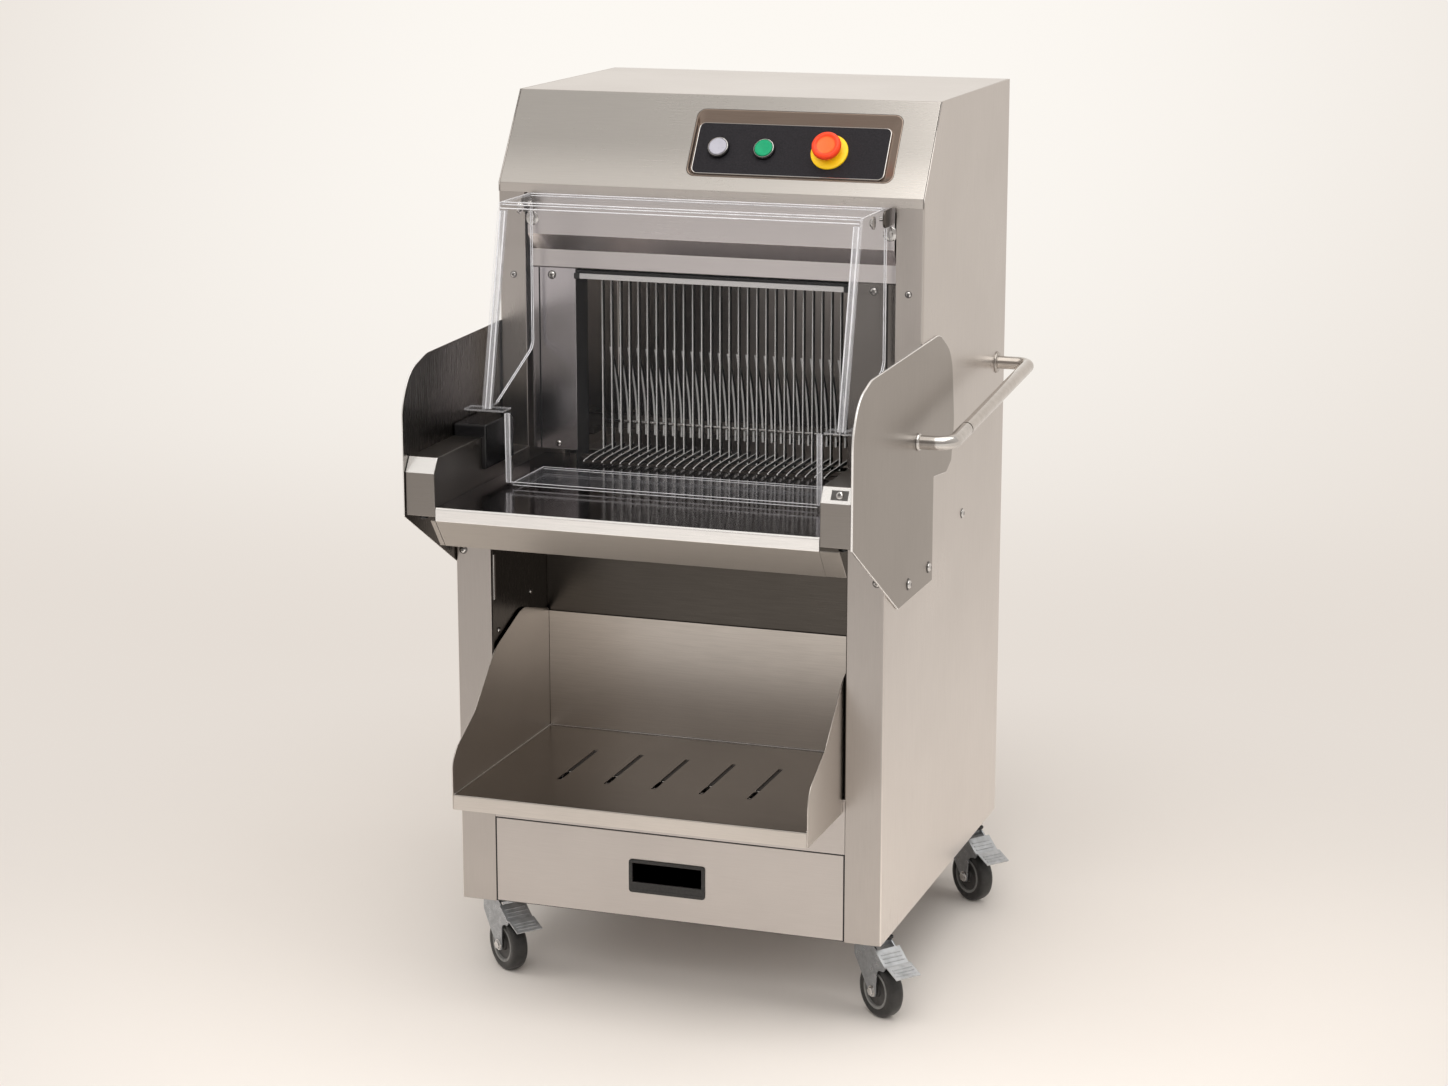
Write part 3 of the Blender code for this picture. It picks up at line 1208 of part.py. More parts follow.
def finger_outline():
    """A pusher finger from the side, which curves forward to its tip."""
    front = []
    back = []
    for up_share, forward_share, width_share in FINGER_SHARES:
        middle = PUSHER_BACK - PUSHER_FINGER_DEPTH / 2 - PUSHER_TIP_FORWARD * forward_share
        half = PUSHER_FINGER_DEPTH * width_share / 2
        front.append((middle - half, PUSHER_FOOT + PUSHER_FINGER * up_share))
        back.append((middle + half, PUSHER_FOOT + PUSHER_FINGER * up_share))
    tip = (PUSHER_BACK - PUSHER_FINGER_DEPTH / 2 - PUSHER_TIP_FORWARD, PUSHER_TIP)
    return back + [tip] + list(reversed(front))


def make_pusher_comb():
    """The fingers behind the blades, on a bar whose shoes slide on the slice rest's rails."""
    bar_back = PUSHER_BACK - OVERLAP
    y = (bar_back - PUSHER_BAR_DEPTH, bar_back)
    z = (PUSHER_BAR_LOW, PUSHER_BAR_HIGH)
    half = RAIL_OUT + SHOE_WIDTH / 2
    comb = block("pusher_comb", (-half, PUSHER_LUG_OUT), y, z)
    finger = plate("pusher_finger", "X", finger_outline(),
                   (-PUSHER_FINGER_WIDTH / 2, PUSHER_FINGER_WIDTH / 2))
    join(comb, repeat("pusher_fingers", finger, gap_positions()))
    for side in (-1, 1):
        middle = side * RAIL_OUT
        shoe = block("pusher_shoe", (middle - SHOE_WIDTH / 2 + OVERLAP, middle + SHOE_WIDTH / 2 - OVERLAP),
                     (y[0] + OVERLAP, y[0] + SHOE_DEPTH),
                     (REST_TOP + RAIL_HEIGHT + GAP, PUSHER_BAR_HIGH - OVERLAP))
        join(comb, shoe)
    lug = block("pusher_lug", (PUSHER_LUG_OUT - FRAME_LUG, PUSHER_LUG_OUT - OVERLAP),
                (PUSHER_PIN_BACK - PUSHER_LUG_HALF, PUSHER_PIN_BACK + PUSHER_LUG_HALF),
                (PUSHER_BAR_LOW + OVERLAP, PUSHER_PIN_HEIGHT + PUSHER_LUG_HALF))
    pin = rod("pusher_pin", "X", (0.0, PUSHER_PIN_BACK, PUSHER_PIN_HEIGHT), LINK_PIN_RADIUS,
              (PUSHER_LUG_OUT - FRAME_LUG / 2, link_inner() + LINK_THICKNESS))
    join(comb, lug, pin)
    dark_steel(comb)


def make_slice_rest():
    """The plate behind the blades, between the side panels, with the pusher's two rails."""
    plate_low = REST_TOP - SHEET
    rest = block("slice_rest", (-FIT_HALF_WIDTH, FIT_HALF_WIDTH), (REST_FRONT, REST_BACK),
                 (plate_low, REST_TOP))
    for side in (-1, 1):
        middle = side * RAIL_OUT
        rail = block("pusher_rail", (middle - RAIL_WIDTH / 2, middle + RAIL_WIDTH / 2),
                     (REST_FRONT + SHEET, REST_BACK - SHEET), (REST_TOP - OVERLAP, REST_TOP + RAIL_HEIGHT))
        join(rest, rail)
    steel(rest)


# Bay, shelf tray and drawer

def make_bay_liner():
    """The bay's two side walls and its back, bent from one sheet."""
    outer = POST_INNER - BAY_SIDE_GAP
    front = SHEET + GAP
    back = BAY_BACK + BAY_WALL
    path = [(outer, front), (outer, back), (-outer, back), (-outer, front)]
    liner = plate("bay_liner", "Z", strip(path, -BAY_WALL), (BAY_FLOOR_TOP + GAP, BAY_TOP))
    dark_steel(liner)


def make_front_rail():
    """The rail over the drawer, which carries on back as the bay's floor."""
    half = POST_INNER - GAP
    path = [(0.0, RAIL_FACE_FOOT), (0.0, BAY_FLOOR_TOP), (BAY_BACK + BAY_WALL, BAY_FLOOR_TOP)]
    steel(plate("front_rail", "X", strip(path, SHEET), (-half, half)))


def tray_side_outline(floor):
    points = [(TRAY_FRONT, floor - TRAY_LIP), (TRAY_FRONT, floor + TRAY_NOSE_RISE),
              (TRAY_SHOULDER, floor + TRAY_SHOULDER_RISE), (TRAY_MIDDLE, floor + TRAY_MIDDLE_RISE),
              (TRAY_REAR, floor + TRAY_REAR_RISE), (TRAY_BACK, floor + TRAY_SIDE_RISE),
              (TRAY_BACK, floor), (-SHEET, floor), (-SHEET, floor - TRAY_LIP)]
    big = TRAY_ROUND
    return rounded(points, [0.0, big, big, big, big, 0.0, 0.0, 0.0, 0.0])


def make_shelf_tray():
    """The slotted shelf with its front lip, raised sides and back, all one pressing."""
    floor = BAY_FLOOR_TOP + GAP
    top = floor + TRAY_SHEET
    half = TRAY_HALF_WIDTH
    path = [(TRAY_FRONT, floor - TRAY_LIP), (TRAY_FRONT, top), (TRAY_BACK, top),
            (TRAY_BACK, floor + TRAY_BACK_RISE)]
    tray = plate("shelf_tray", "X", strip(path, TRAY_SHEET), (-half, half))
    for side in (-1, 1):
        wall = plate("tray_side", "X", tray_side_outline(floor), (side * (half - TRAY_SHEET), side * half))
        join(tray, wall)
    work = bmesh.new()
    for index in range(SLOT_COUNT):
        place = SLOT_FIRST + SLOT_PITCH * index
        add_block(work, (place - SLOT_WIDTH / 2, place + SLOT_WIDTH / 2), (SLOT_FRONT, SLOT_BACK),
                  (floor - CUT_MARGIN, top + CUT_MARGIN))
    cut(tray, new_object("tray_slots", mesh_from(work)))
    steel(tray)


def pull_body():
    return PULL_HALF_WIDTH - PULL_RIM, PULL_HALF_HEIGHT - PULL_RIM


def make_crumb_drawer():
    """The drawer: a flush front, with the pull's opening, on an open box."""
    front = block("crumb_drawer", (-DRAWER_HALF_WIDTH, DRAWER_HALF_WIDTH), (0.0, SHEET),
                  (DRAWER_FOOT, DRAWER_TOP))
    outer = DRAWER_HALF_WIDTH - DRAWER_BOX_INSET
    box = block("drawer_box", (-outer, outer), (SHEET - OVERLAP, DRAWER_BOX_BACK),
                (DRAWER_BOX_LOW, DRAWER_BOX_HIGH))
    join(front, box)
    hollow = block("drawer_hollow", (-outer + DRAWER_WALL, outer - DRAWER_WALL),
                   (SHEET, DRAWER_BOX_BACK - DRAWER_WALL),
                   (DRAWER_BOX_LOW + DRAWER_WALL, DRAWER_BOX_HIGH + CUT_MARGIN))
    width, height = pull_body()
    opening = block("pull_opening", (-width - GAP, width + GAP), (-CUT_MARGIN, SHEET + CUT_MARGIN),
                    (PULL_HEIGHT - height - GAP, PULL_HEIGHT + height + GAP))
    cut(front, hollow, opening)
    steel(front)


def make_drawer_pull():
    """The black recessed pull: a flange in front of the drawer, and a cup behind with a finger lip."""
    width, height = pull_body()
    rim = rounded(rectangle((-PULL_HALF_WIDTH, PULL_HALF_WIDTH),
                            (PULL_HEIGHT - PULL_HALF_HEIGHT, PULL_HEIGHT + PULL_HALF_HEIGHT)), PULL_CORNER)
    flange = plate("drawer_pull", "Y", rim, (-PULL_FLANGE - GAP, -GAP))
    body = block("pull_body", (-width, width), (-GAP - OVERLAP, PULL_DEPTH),
                 (PULL_HEIGHT - height, PULL_HEIGHT + height))
    hollow = block("pull_hollow", (-width + PULL_WALL, width - PULL_WALL),
                   (-PULL_FLANGE - CUT_MARGIN, PULL_DEPTH - PULL_WALL),
                   (PULL_HEIGHT - height + PULL_WALL, PULL_HEIGHT + height - PULL_WALL))
    lip = block("pull_lip", (-width + PULL_WALL / 2, width - PULL_WALL / 2),
                (-PULL_FLANGE, PULL_WALL),
                (PULL_HEIGHT - height + PULL_WALL / 2, PULL_HEIGHT - height + PULL_LIP))
    join(flange, body)
    cut(flange, hollow)
    join(flange, lip)
    black_plastic(flange)


# Base frame and castors

def castor_places():
    return (("front_left", -CASTOR_OUT, CASTOR_FRONT), ("front_right", CASTOR_OUT, CASTOR_FRONT),
            ("rear_left", -CASTOR_OUT, CASTOR_BACK), ("rear_right", CASTOR_OUT, CASTOR_BACK))


def make_base_frame():
    """Two side rails with the drawer's ledges, a rear cross-member, a front strap and castor plates."""
    low = BODY_BOTTOM + GAP
    ledge = DRAWER_BOX_LOW - GAP
    rail_inner = DRAWER_HALF_WIDTH + BASE_SIDE_GAP
    section = [(BASE_LEDGE_INNER, low), (FIT_HALF_WIDTH, low), (FIT_HALF_WIDTH, BASE_TOP),
               (rail_inner, BASE_TOP),
               (rail_inner, ledge), (BASE_LEDGE_INNER, ledge)]
    base = plate("base_frame", "Y", section, (BASE_FRONT, BASE_BACK))
    other = plate("base_rail", "Y", [(-x, z) for x, z in section], (BASE_FRONT, BASE_BACK))
    reach = BASE_LEDGE_INNER + OVERLAP
    cross = block("base_cross", (-reach, reach), (BASE_BACK - BASE_CROSS_DEPTH, BASE_BACK - OVERLAP),
                  (low, ledge + OVERLAP))
    strap = block("base_strap", (-reach, reach), (BASE_FRONT + OVERLAP, BASE_FRONT + BASE_STRAP_DEPTH),
                  (low, low + BASE_STRAP))
    join(base, cross, other, strap)
    for name, x, y in castor_places():
        pad = block(name + "_plate", (x - CASTOR_PLATE_HALF, x + CASTOR_PLATE_HALF),
                    (y - CASTOR_PLATE_HALF, y + CASTOR_PLATE_HALF), (CASTOR_PLATE_FOOT, low + OVERLAP))
        join(base, pad)
    steel(base)


def fork_outline():
    """One leg of a castor's fork from the side, with the ear that flanks the pedal."""
    axle = (CASTOR_TRAIL, WHEEL_RADIUS)
    foot = arc(axle, FORK_FOOT_RADIUS, 0.0, -math.pi, 8)
    return [(FORK_BACK, CROWN_FOOT), (FORK_BACK, FORK_WAIST)] + list(reversed(foot)) + [
        (FORK_NOTCH_OUT, FORK_NOTCH_HEIGHT), (FORK_EAR_LOW_OUT, FORK_EAR_LOW),
        (FORK_EAR_OUT, FORK_EAR_HEIGHT),
        (FORK_FRONT, CROWN_TOP - OVERLAP), (FORK_BACK, CROWN_TOP - OVERLAP)]


def castor_fork(name, centre):
    crown = rod(name, "Z", (0.0, 0.0, 0.0), SWIVEL_RADIUS, (CROWN_FOOT, CROWN_TOP), centre)
    outer = FORK_INNER + FORK_SHEET
    bridge = block(name + "_bridge", (FORK_BACK + OVERLAP, FORK_FRONT - OVERLAP),
                   (-FORK_INNER - OVERLAP, FORK_INNER + OVERLAP),
                   (CROWN_FOOT + OVERLAP, CROWN_TOP - OVERLAP * 2), centre)
    join(crown, bridge)
    for side in (-1, 1):
        leg = plate(name + "_leg", "Y", fork_outline(), (side * FORK_INNER, side * outer), centre)
        join(crown, leg)
    axle_at = (CASTOR_TRAIL, 0.0, WHEEL_RADIUS)
    axle = rod(name + "_axle", "Y", axle_at, AXLE_RADIUS, (-outer - AXLE_HEAD / 2, outer + AXLE_HEAD / 2),
               centre, 12)
    join(crown, axle)
    for side in (-1, 1):
        head = rod(name + "_head", "Y", axle_at, AXLE_HEAD_RADIUS,
                   (side * (outer - OVERLAP), side * (outer + AXLE_HEAD)),
                   centre, 6)
        join(crown, head)
    zinc(crown)


def castor_wheel(name, centre):
    """A tyre on a dished hub, turned about its axle."""
    bore = AXLE_RADIUS + GAP
    half = WHEEL_HALF_WIDTH
    dish = half - WHEEL_DISH
    rim = WHEEL_RADIUS - WHEEL_TYRE
    profile = [(bore, half), (WHEEL_HUB_RADIUS, half), (WHEEL_HUB_RADIUS, dish), (rim, dish),
               (rim, half - GAP),
               (WHEEL_RADIUS - WHEEL_ROUND, half),
               (WHEEL_RADIUS - WHEEL_ROUND_MIDDLE, half - WHEEL_ROUND_MIDDLE),
               (WHEEL_RADIUS, half - WHEEL_ROUND)]
    profile += [(radius, -height) for radius, height in reversed(profile)]
    wheel = turned(name, "Y", (CASTOR_TRAIL, 0.0, WHEEL_RADIUS), profile, centre)
    black_plastic(wheel)


def castor_pedal(name, centre):
    """The stepped brake pedal, bent from one sheet, over the fork's ears."""
    edge = Vector((FORK_EAR_OUT - FORK_FRONT, FORK_EAR_HEIGHT - CROWN_TOP)).normalized()
    out = Vector((-edge.y, edge.x))
    start = Vector((PEDAL_PIVOT_OUT, PEDAL_PIVOT_HEIGHT))
    on_edge = Vector((FORK_FRONT, CROWN_TOP)) + edge * (start - Vector((FORK_FRONT, CROWN_TOP))).dot(edge)
    low = on_edge + out * PEDAL_GAP
    knee = low + edge * PEDAL_FIRST
    step = knee + out * PEDAL_STEP
    second = Vector((math.cos(PEDAL_SECOND_ANGLE), math.sin(PEDAL_SECOND_ANGLE)))
    path = [tuple(low), tuple(knee), tuple(step + second * (PEDAL_STEP / 2)),
            tuple(step + second * PEDAL_SECOND)]
    pedal = plate(name, "Y", strip(path, -PEDAL_SHEET), (-PEDAL_HALF_WIDTH, PEDAL_HALF_WIDTH), centre)
    move_origin(pedal, (PEDAL_PIVOT_OUT, 0.0, PEDAL_PIVOT_HEIGHT))
    zinc(pedal)


def make_castors():
    for name, x, y in castor_places():
        centre = new_empty("castor_" + name, (x, y, 0.0), MACHINE, (0.0, 0.0, CASTOR_HEADING))
        castor_fork("castor_fork_" + name, centre)
        castor_wheel("castor_wheel_" + name, centre)
        castor_pedal("brake_pedal_" + name, centre)


# Drive

def rod_inner():
    """The inner face of a connecting rod: just past the end of its crank pin."""
    return CRANK_IN + CRANK_THICKNESS + CRANK_PIN + RUN_GAP


def make_drive_bridge():
    """The plate across the cabinet, with the two bearing blocks of the crankshaft welded on it."""
    bridge = block("drive_bridge", (-FIT_HALF_WIDTH, FIT_HALF_WIDTH), (BRIDGE_FRONT, BRIDGE_BACK),
                   (BRIDGE_TOP - BRIDGE_SHEET, BRIDGE_TOP))
    for side in (-1, 1):
        bearing = block("crank_bearing", (side * BEARING_IN, side * (BEARING_IN + BEARING_WIDTH)),
                        (CRANK_BACK - BEARING_HALF_DEPTH, CRANK_BACK + BEARING_HALF_DEPTH),
                        (BRIDGE_TOP - OVERLAP, CRANK_HEIGHT + BEARING_HALF_DEPTH))
        join(bridge, bearing)
    reach = BEARING_IN + BEARING_WIDTH + CUT_MARGIN
    cut(bridge, rod("bearing_bore", "X", (0.0, CRANK_BACK, CRANK_HEIGHT), SHAFT_RADIUS + GAP,
                    (-reach, reach)))
    steel(bridge)


def make_crankshaft():
    """The shaft with its driven pulley and a crank disc and pin at each end, half a turn apart."""
    axis = (0.0, CRANK_BACK, CRANK_HEIGHT)
    end = CRANK_IN + CRANK_THICKNESS
    groove = BELT_HALF_WIDTH + GAP
    half = [(CRANK_RADIUS, end), (CRANK_RADIUS, CRANK_IN), (SHAFT_RADIUS, CRANK_IN),
            (SHAFT_RADIUS, PULLEY_HALF_WIDTH),
            (BIG_PULLEY_RADIUS + PULLEY_RIM, PULLEY_HALF_WIDTH), (BIG_PULLEY_RADIUS + PULLEY_RIM, groove),
            (BIG_PULLEY_RADIUS, groove)]
    profile = [(0.0, end)] + half + [(radius, -height) for radius, height in reversed(half)] + [(0.0, -end)]
    shaft = turned("crankshaft", "X", axis, profile, steps=ROUND_SIDES + 4)
    for side in (-1, 1):
        pin_at = (0.0, CRANK_BACK + side * BLADE_STROKE, CRANK_HEIGHT)
        join(shaft, rod("crank_pin", "X", pin_at, CRANK_PIN_RADIUS,
                        (side * (end - OVERLAP), side * (end + CRANK_PIN))))
    zinc(shaft)


def con_rod(name, side, wrist_back):
    """A connecting rod from its blade frame down to the crank; its lower eye stays open."""
    top = (wrist_back, FRAME_LOW - WRIST_DROP)
    low = (CRANK_BACK + side * BLADE_STROKE, CRANK_HEIGHT)
    x = (side * rod_inner(), side * (rod_inner() + ROD_THICKNESS))
    item = plate(name, "X", link_outline(low, ROD_EYE_RADIUS, top, ROD_SMALL_RADIUS), x)
    ends = (side * (rod_inner() - CUT_MARGIN), side * (rod_inner() + ROD_THICKNESS + CUT_MARGIN))
    cut(item, rod(name + "_wrist", "X", (0.0, *top), ROD_PIN_RADIUS + GAP, ends),
        rod(name + "_eye", "X", (0.0, *low), CRANK_PIN_RADIUS + GAP, ends))
    move_origin(item, (0.0, *top))
    zinc(item)


def make_con_rods():
    front_wrist = BLADE_FRAME_FRONT + FRAME_DEPTH / 2
    rear_wrist = BLADE_FRONT + BLADE_DEPTH - BLADE_TAB + FRAME_DEPTH / 2
    con_rod("con_rod_left", -1, front_wrist)
    con_rod("con_rod_right", 1, rear_wrist)


def make_motor():
    """The motor on its foot, its pulley with the shaft end, and the belt to the crank pulley."""
    axis = (0.0, MOTOR_BACK, MOTOR_HEIGHT)
    motor = rod("drive_motor", "X", axis, MOTOR_RADIUS, (MOTOR_FRONT, MOTOR_FRONT + MOTOR_LENGTH),
                sides=ROUND_SIDES + 4)
    foot = block("motor_foot",
                 (MOTOR_FRONT + MOTOR_FOOT_HALF / 2, MOTOR_FRONT + MOTOR_LENGTH - MOTOR_FOOT_HALF / 2),
                 (MOTOR_BACK - MOTOR_FOOT_HALF, MOTOR_BACK + MOTOR_FOOT_HALF),
                 (BRIDGE_TOP + GAP, MOTOR_HEIGHT))
    join(motor, foot)
    painted(motor)
    pulley = rod("motor_pulley", "X", axis, SMALL_PULLEY_RADIUS, (-PULLEY_HALF_WIDTH, PULLEY_HALF_WIDTH))
    join(pulley, rod("motor_shaft", "X", axis, MOTOR_SHAFT_RADIUS,
                     (PULLEY_HALF_WIDTH - OVERLAP, MOTOR_FRONT - GAP)))
    move_origin(pulley, axis)
    zinc(pulley)


def belt_outline(grow):
    """Two arcs joined by the tangents that touch both pulleys."""
    big = BIG_PULLEY_RADIUS + grow
    small = SMALL_PULLEY_RADIUS + grow
    run = Vector((MOTOR_BACK - CRANK_BACK, MOTOR_HEIGHT - CRANK_HEIGHT))
    along = math.atan2(run.y, run.x)
    half = math.acos((big - small) / run.length)
    first = arc((CRANK_BACK, CRANK_HEIGHT), big, along + half, along + 2 * math.pi - half, ROUND_SIDES)
    second = arc((MOTOR_BACK, MOTOR_HEIGHT), small, along - half, along + half, ROUND_SIDES // 2)
    return first + second


def make_drive_belt():
    span = (-BELT_HALF_WIDTH, BELT_HALF_WIDTH)
    clear = GAP * 2
    belt = plate("drive_belt", "X", belt_outline(BELT_THICKNESS + clear), span)
    inside = plate("belt_inside", "X", belt_outline(clear),
                   (-BELT_HALF_WIDTH - CUT_MARGIN, BELT_HALF_WIDTH + CUT_MARGIN))
    cut(belt, inside)
    black_plastic(belt)


def make_drive():
    make_drive_bridge()
    make_crankshaft()
    make_con_rods()
    make_motor()
    make_drive_belt()


def make_machine():
    make_side_panels()
    make_rear_panel()
    make_top_hood()
    make_control_recess()
    make_buttons()
    make_stop_button()
    make_header_panel()
    make_fascias()
    make_throat_frame()
    make_blade_frames()
    make_blade_guides()
    make_infeed_table()
    make_table_comb()
    make_table_sides()
    make_clear_guard()
    make_lever_handle()
    make_lever_bush()
    make_lever_arm()
    make_pusher_link()
    make_pusher_comb()
    make_slice_rest()
    make_bay_liner()
    make_front_rail()
    make_shelf_tray()
    make_crumb_drawer()
    make_drawer_pull()
    make_base_frame()
    make_castors()
    make_drive()


make_machine()
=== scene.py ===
"""The bread slicer's look: new surfaces over the frame, their materials, the floor, light and camera.

Sizes are in metres, but turned profiles and screws are in millimetres. Places are given in the
machine's own frame: X from the cabinet's middle to its right, Y from its lower front face to the
back, Z from the floor. SHIFT moves them into the frame.
"""
import math

import bmesh
import bpy
import numpy as np
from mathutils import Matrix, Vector


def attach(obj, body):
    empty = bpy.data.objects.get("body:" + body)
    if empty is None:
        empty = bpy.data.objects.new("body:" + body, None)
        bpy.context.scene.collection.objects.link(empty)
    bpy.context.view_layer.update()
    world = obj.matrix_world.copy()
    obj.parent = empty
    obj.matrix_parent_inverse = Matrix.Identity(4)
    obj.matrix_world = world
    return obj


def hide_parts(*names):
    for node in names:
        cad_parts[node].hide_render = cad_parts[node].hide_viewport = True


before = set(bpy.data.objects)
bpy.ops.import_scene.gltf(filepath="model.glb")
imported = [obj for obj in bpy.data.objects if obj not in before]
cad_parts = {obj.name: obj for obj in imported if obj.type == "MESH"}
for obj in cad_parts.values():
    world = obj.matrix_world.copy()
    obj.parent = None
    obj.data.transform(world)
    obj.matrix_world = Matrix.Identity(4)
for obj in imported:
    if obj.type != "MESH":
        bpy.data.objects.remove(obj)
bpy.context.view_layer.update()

SHIFT = np.array((0.02885, 0.2395, 0.0))
MM = 0.001
SMOOTH = math.radians(38)
WELD = 0.00001              # points nearer than this are merged
SIDES = (("Left", -1), ("Right", 1))

# Cabinet sizes
HALF = 0.315                # half the cabinet's width
INNER = 0.3127              # half the width between the side panels
DEPTH = 0.646
FOOT, TOP = 0.120, 1.263
STEP = 0.175                # front face of the upper cabinet
SHEET = 0.002
POST = 0.053
POST_TOP = 0.700
UPPER = 0.040
LIP_FOOT, SLOPE_FOOT = 1.125, 1.138
ROOF = 0.260
SLOPE = math.atan2(TOP - SLOPE_FOOT, ROOF - STEP)
BEND = 0.0032               # outer radius of a folded edge
GAP = 0.0003
TABLE = 0.7366
BEAM = 0.189                # front face of the beam and the fascias
THROAT = 0.204
HEADER_HALF = 0.272
PIVOT = (0.155, 1.112)      # the guard's hinge line


# Plane outlines

def turn_sign(outline):
    """+1 where the outline's points run anticlockwise, else -1, from its signed area."""
    x, y = outline[:, 0], outline[:, 1]
    return 1.0 if np.sum(x * np.roll(y, -1) - np.roll(x, -1) * y) > 0 else -1.0


def unit(vectors):
    """Vectors brought to length 1."""
    return vectors / np.linalg.norm(vectors, axis=-1, keepdims=True)


def fillet(points, radii, steps=6, closed=True):
    """The path with each corner replaced by an arc of its radius.

    An arc starts at radius / tan(half the corner's angle) from the corner, and its centre lies
    on the corner's bisector at radius / sin(half the angle).
    """
    points = np.asarray(points, float)
    radii = np.broadcast_to(np.asarray(radii, float), len(points))
    result = []
    for index, here in enumerate(points):
        if radii[index] <= 0 or (not closed and index in (0, len(points) - 1)):
            result.append(here[None])
            continue
        before, after = points[index - 1], points[(index + 1) % len(points)]
        back_length, on_length = np.linalg.norm(before - here), np.linalg.norm(after - here)
        back, on = unit(before - here), unit(after - here)
        half = math.acos(np.clip(back @ on, -1, 1)) / 2
        reach = min(radii[index] / math.tan(half), back_length / 2, on_length / 2)
        radius = reach * math.tan(half)
        centre = here + unit(back + on) * radius / math.sin(half)
        start, end = here + back * reach - centre, here + on * reach - centre
        angle = math.acos(np.clip(start @ end / radius ** 2, -1, 1))
        share = np.linspace(0, 1, steps + 1)[:, None]
        arc = start * np.sin((1 - share) * angle) + end * np.sin(share * angle)
        result.append(centre + arc / math.sin(angle))
    return np.vstack(result)


def box_outline(x, y, radius=0.0, steps=6):
    """A rectangle from its spans, its corners rounded where a radius is given."""
    corners = np.array([(x[0], y[0]), (x[1], y[0]), (x[1], y[1]), (x[0], y[1])])
    return fillet(corners, radius, steps) if radius else corners


def sided(side, *places):
    """Places along X on the right side, or their mirror images on the left, in rising order."""
    return sorted(side * place for place in places)


def inset(outline, distance):
    """The outline moved in by a distance along the mitre of each corner."""
    ahead = unit(np.roll(outline, -1, 0) - outline)
    normal = np.stack([-ahead[:, 1], ahead[:, 0]], 1) * turn_sign(outline)
    middle = unit(normal + np.roll(normal, 1, 0))
    return outline + middle * (distance / np.clip(np.sum(middle * normal, 1), 0.3, 1))[:, None]


def folded(path, thickness, radius=BEND, steps=5):
    """The section of a folded sheet: the path is its outer face, and the metal lies on its right.

    Each fold is an arc, and the other face is the path moved by the thickness along its normals.
    """
    face = fillet(path, radius, steps, closed=False)
    forward = unit(np.diff(face, axis=0))
    right = np.stack([forward[:, 1], -forward[:, 0]], 1)
    normals = np.vstack([right[:1], (right[1:] + right[:-1]) / 2, right[-1:]])
    cosine = np.sum(normals * normals, 1, keepdims=True)
    return np.vstack([face, (face + normals * thickness / cosine)[::-1]])


# Shapes: pairs of points in the machine's frame and faces

def grid_faces(rows, columns, closed_columns=True):
    """Quads between the rows of a grid of points, as index lists."""
    row = np.arange(rows - 1)[:, None] * columns
    column = np.arange(columns if closed_columns else columns - 1)[None]
    after = (column + 1) % columns
    quads = np.stack([row + column, row + after, row + columns + after, row + columns + column], -1)
    return quads.reshape(-1, 4).tolist()


def lofted(rings, turned_cap=False):
    """Closed rings joined in order, with the first and last ring as caps at the list's end."""
    count, last = len(rings[0]), (len(rings) - 1) * len(rings[0])
    cap = list(range(last, last + count))
    caps = [list(range(count)), cap[::-1] if turned_cap else cap]
    return np.vstack(rings), grid_faces(len(rings), count) + caps


def to_axis(flat, height, axis):
    """Points of a plane square to an axis: (y, z) square to X, (x, z) to Y and (x, y) to Z."""
    height = np.broadcast_to(height, len(flat))
    order = {"X": (height, flat[:, 0], flat[:, 1]), "Y": (flat[:, 0], height, flat[:, 1]),
             "Z": (flat[:, 0], flat[:, 1], height)}[axis]
    return np.stack(order, 1)


def slab_shape(outline, axis, span, edge, steps=2):
    """Rings of an outline from one face to the other, with quarter-round edges.

    At turn a of a quarter round the ring is inset by edge * (1 - sin a) and lies
    edge * (1 - cos a) below the face.
    """
    outline = np.asarray(outline, float)
    low, high = sorted(span)
    edge = min(edge, (high - low) / 2.01)
    angles = np.linspace(0, math.pi / 2, steps + 1) if edge > 0 else np.array([math.pi / 2])

    def ring(face, way, angle):
        level = face + way * edge * (1 - math.cos(angle))
        return to_axis(inset(outline, edge * (1 - math.sin(angle))), level, axis)

    return lofted([ring(low, 1, a) for a in angles] + [ring(high, -1, a) for a in angles[::-1]], True)


def box(x, y, z, edge=0.0005):
    """A block from its spans, its edges rounded."""
    return slab_shape(box_outline(x, y), "Z", z, edge, 1)


def several(parts):
    """One shape from several."""
    points, faces, start = [], [], 0
    for some, quads in parts:
        points.append(some)
        faces += [[index + start for index in face] for face in quads]
        start += len(some)
    return np.vstack(points), faces


def row_of(shape, places):
    """Copies of a shape at X places."""
    points, faces = shape
    shifts = np.zeros((len(places), 1, 3))
    shifts[:, 0, 0] = places
    starts = range(0, len(points) * len(places), len(points))
    copies = [[index + start for index in face] for start in starts for face in faces]
    return (np.asarray(points)[None] + shifts).reshape(-1, 3), copies


def frame_of(axis):
    """Two directions square to an axis, which with it make a right-handed set."""
    axis = unit(np.asarray(axis, float))
    helper = np.array((0.0, 0.0, 1.0)) if abs(axis[2]) < 0.9 else np.array((1.0, 0.0, 0.0))
    first = unit(np.cross(helper, axis))
    return first, np.cross(axis, first), axis


def circle(first, second, sides):
    """Directions at even angles a round a circle: first * cos a + second * sin a."""
    angle = np.linspace(0, 2 * math.pi, sides, endpoint=False)[:, None]
    return np.cos(angle) * first + np.sin(angle) * second


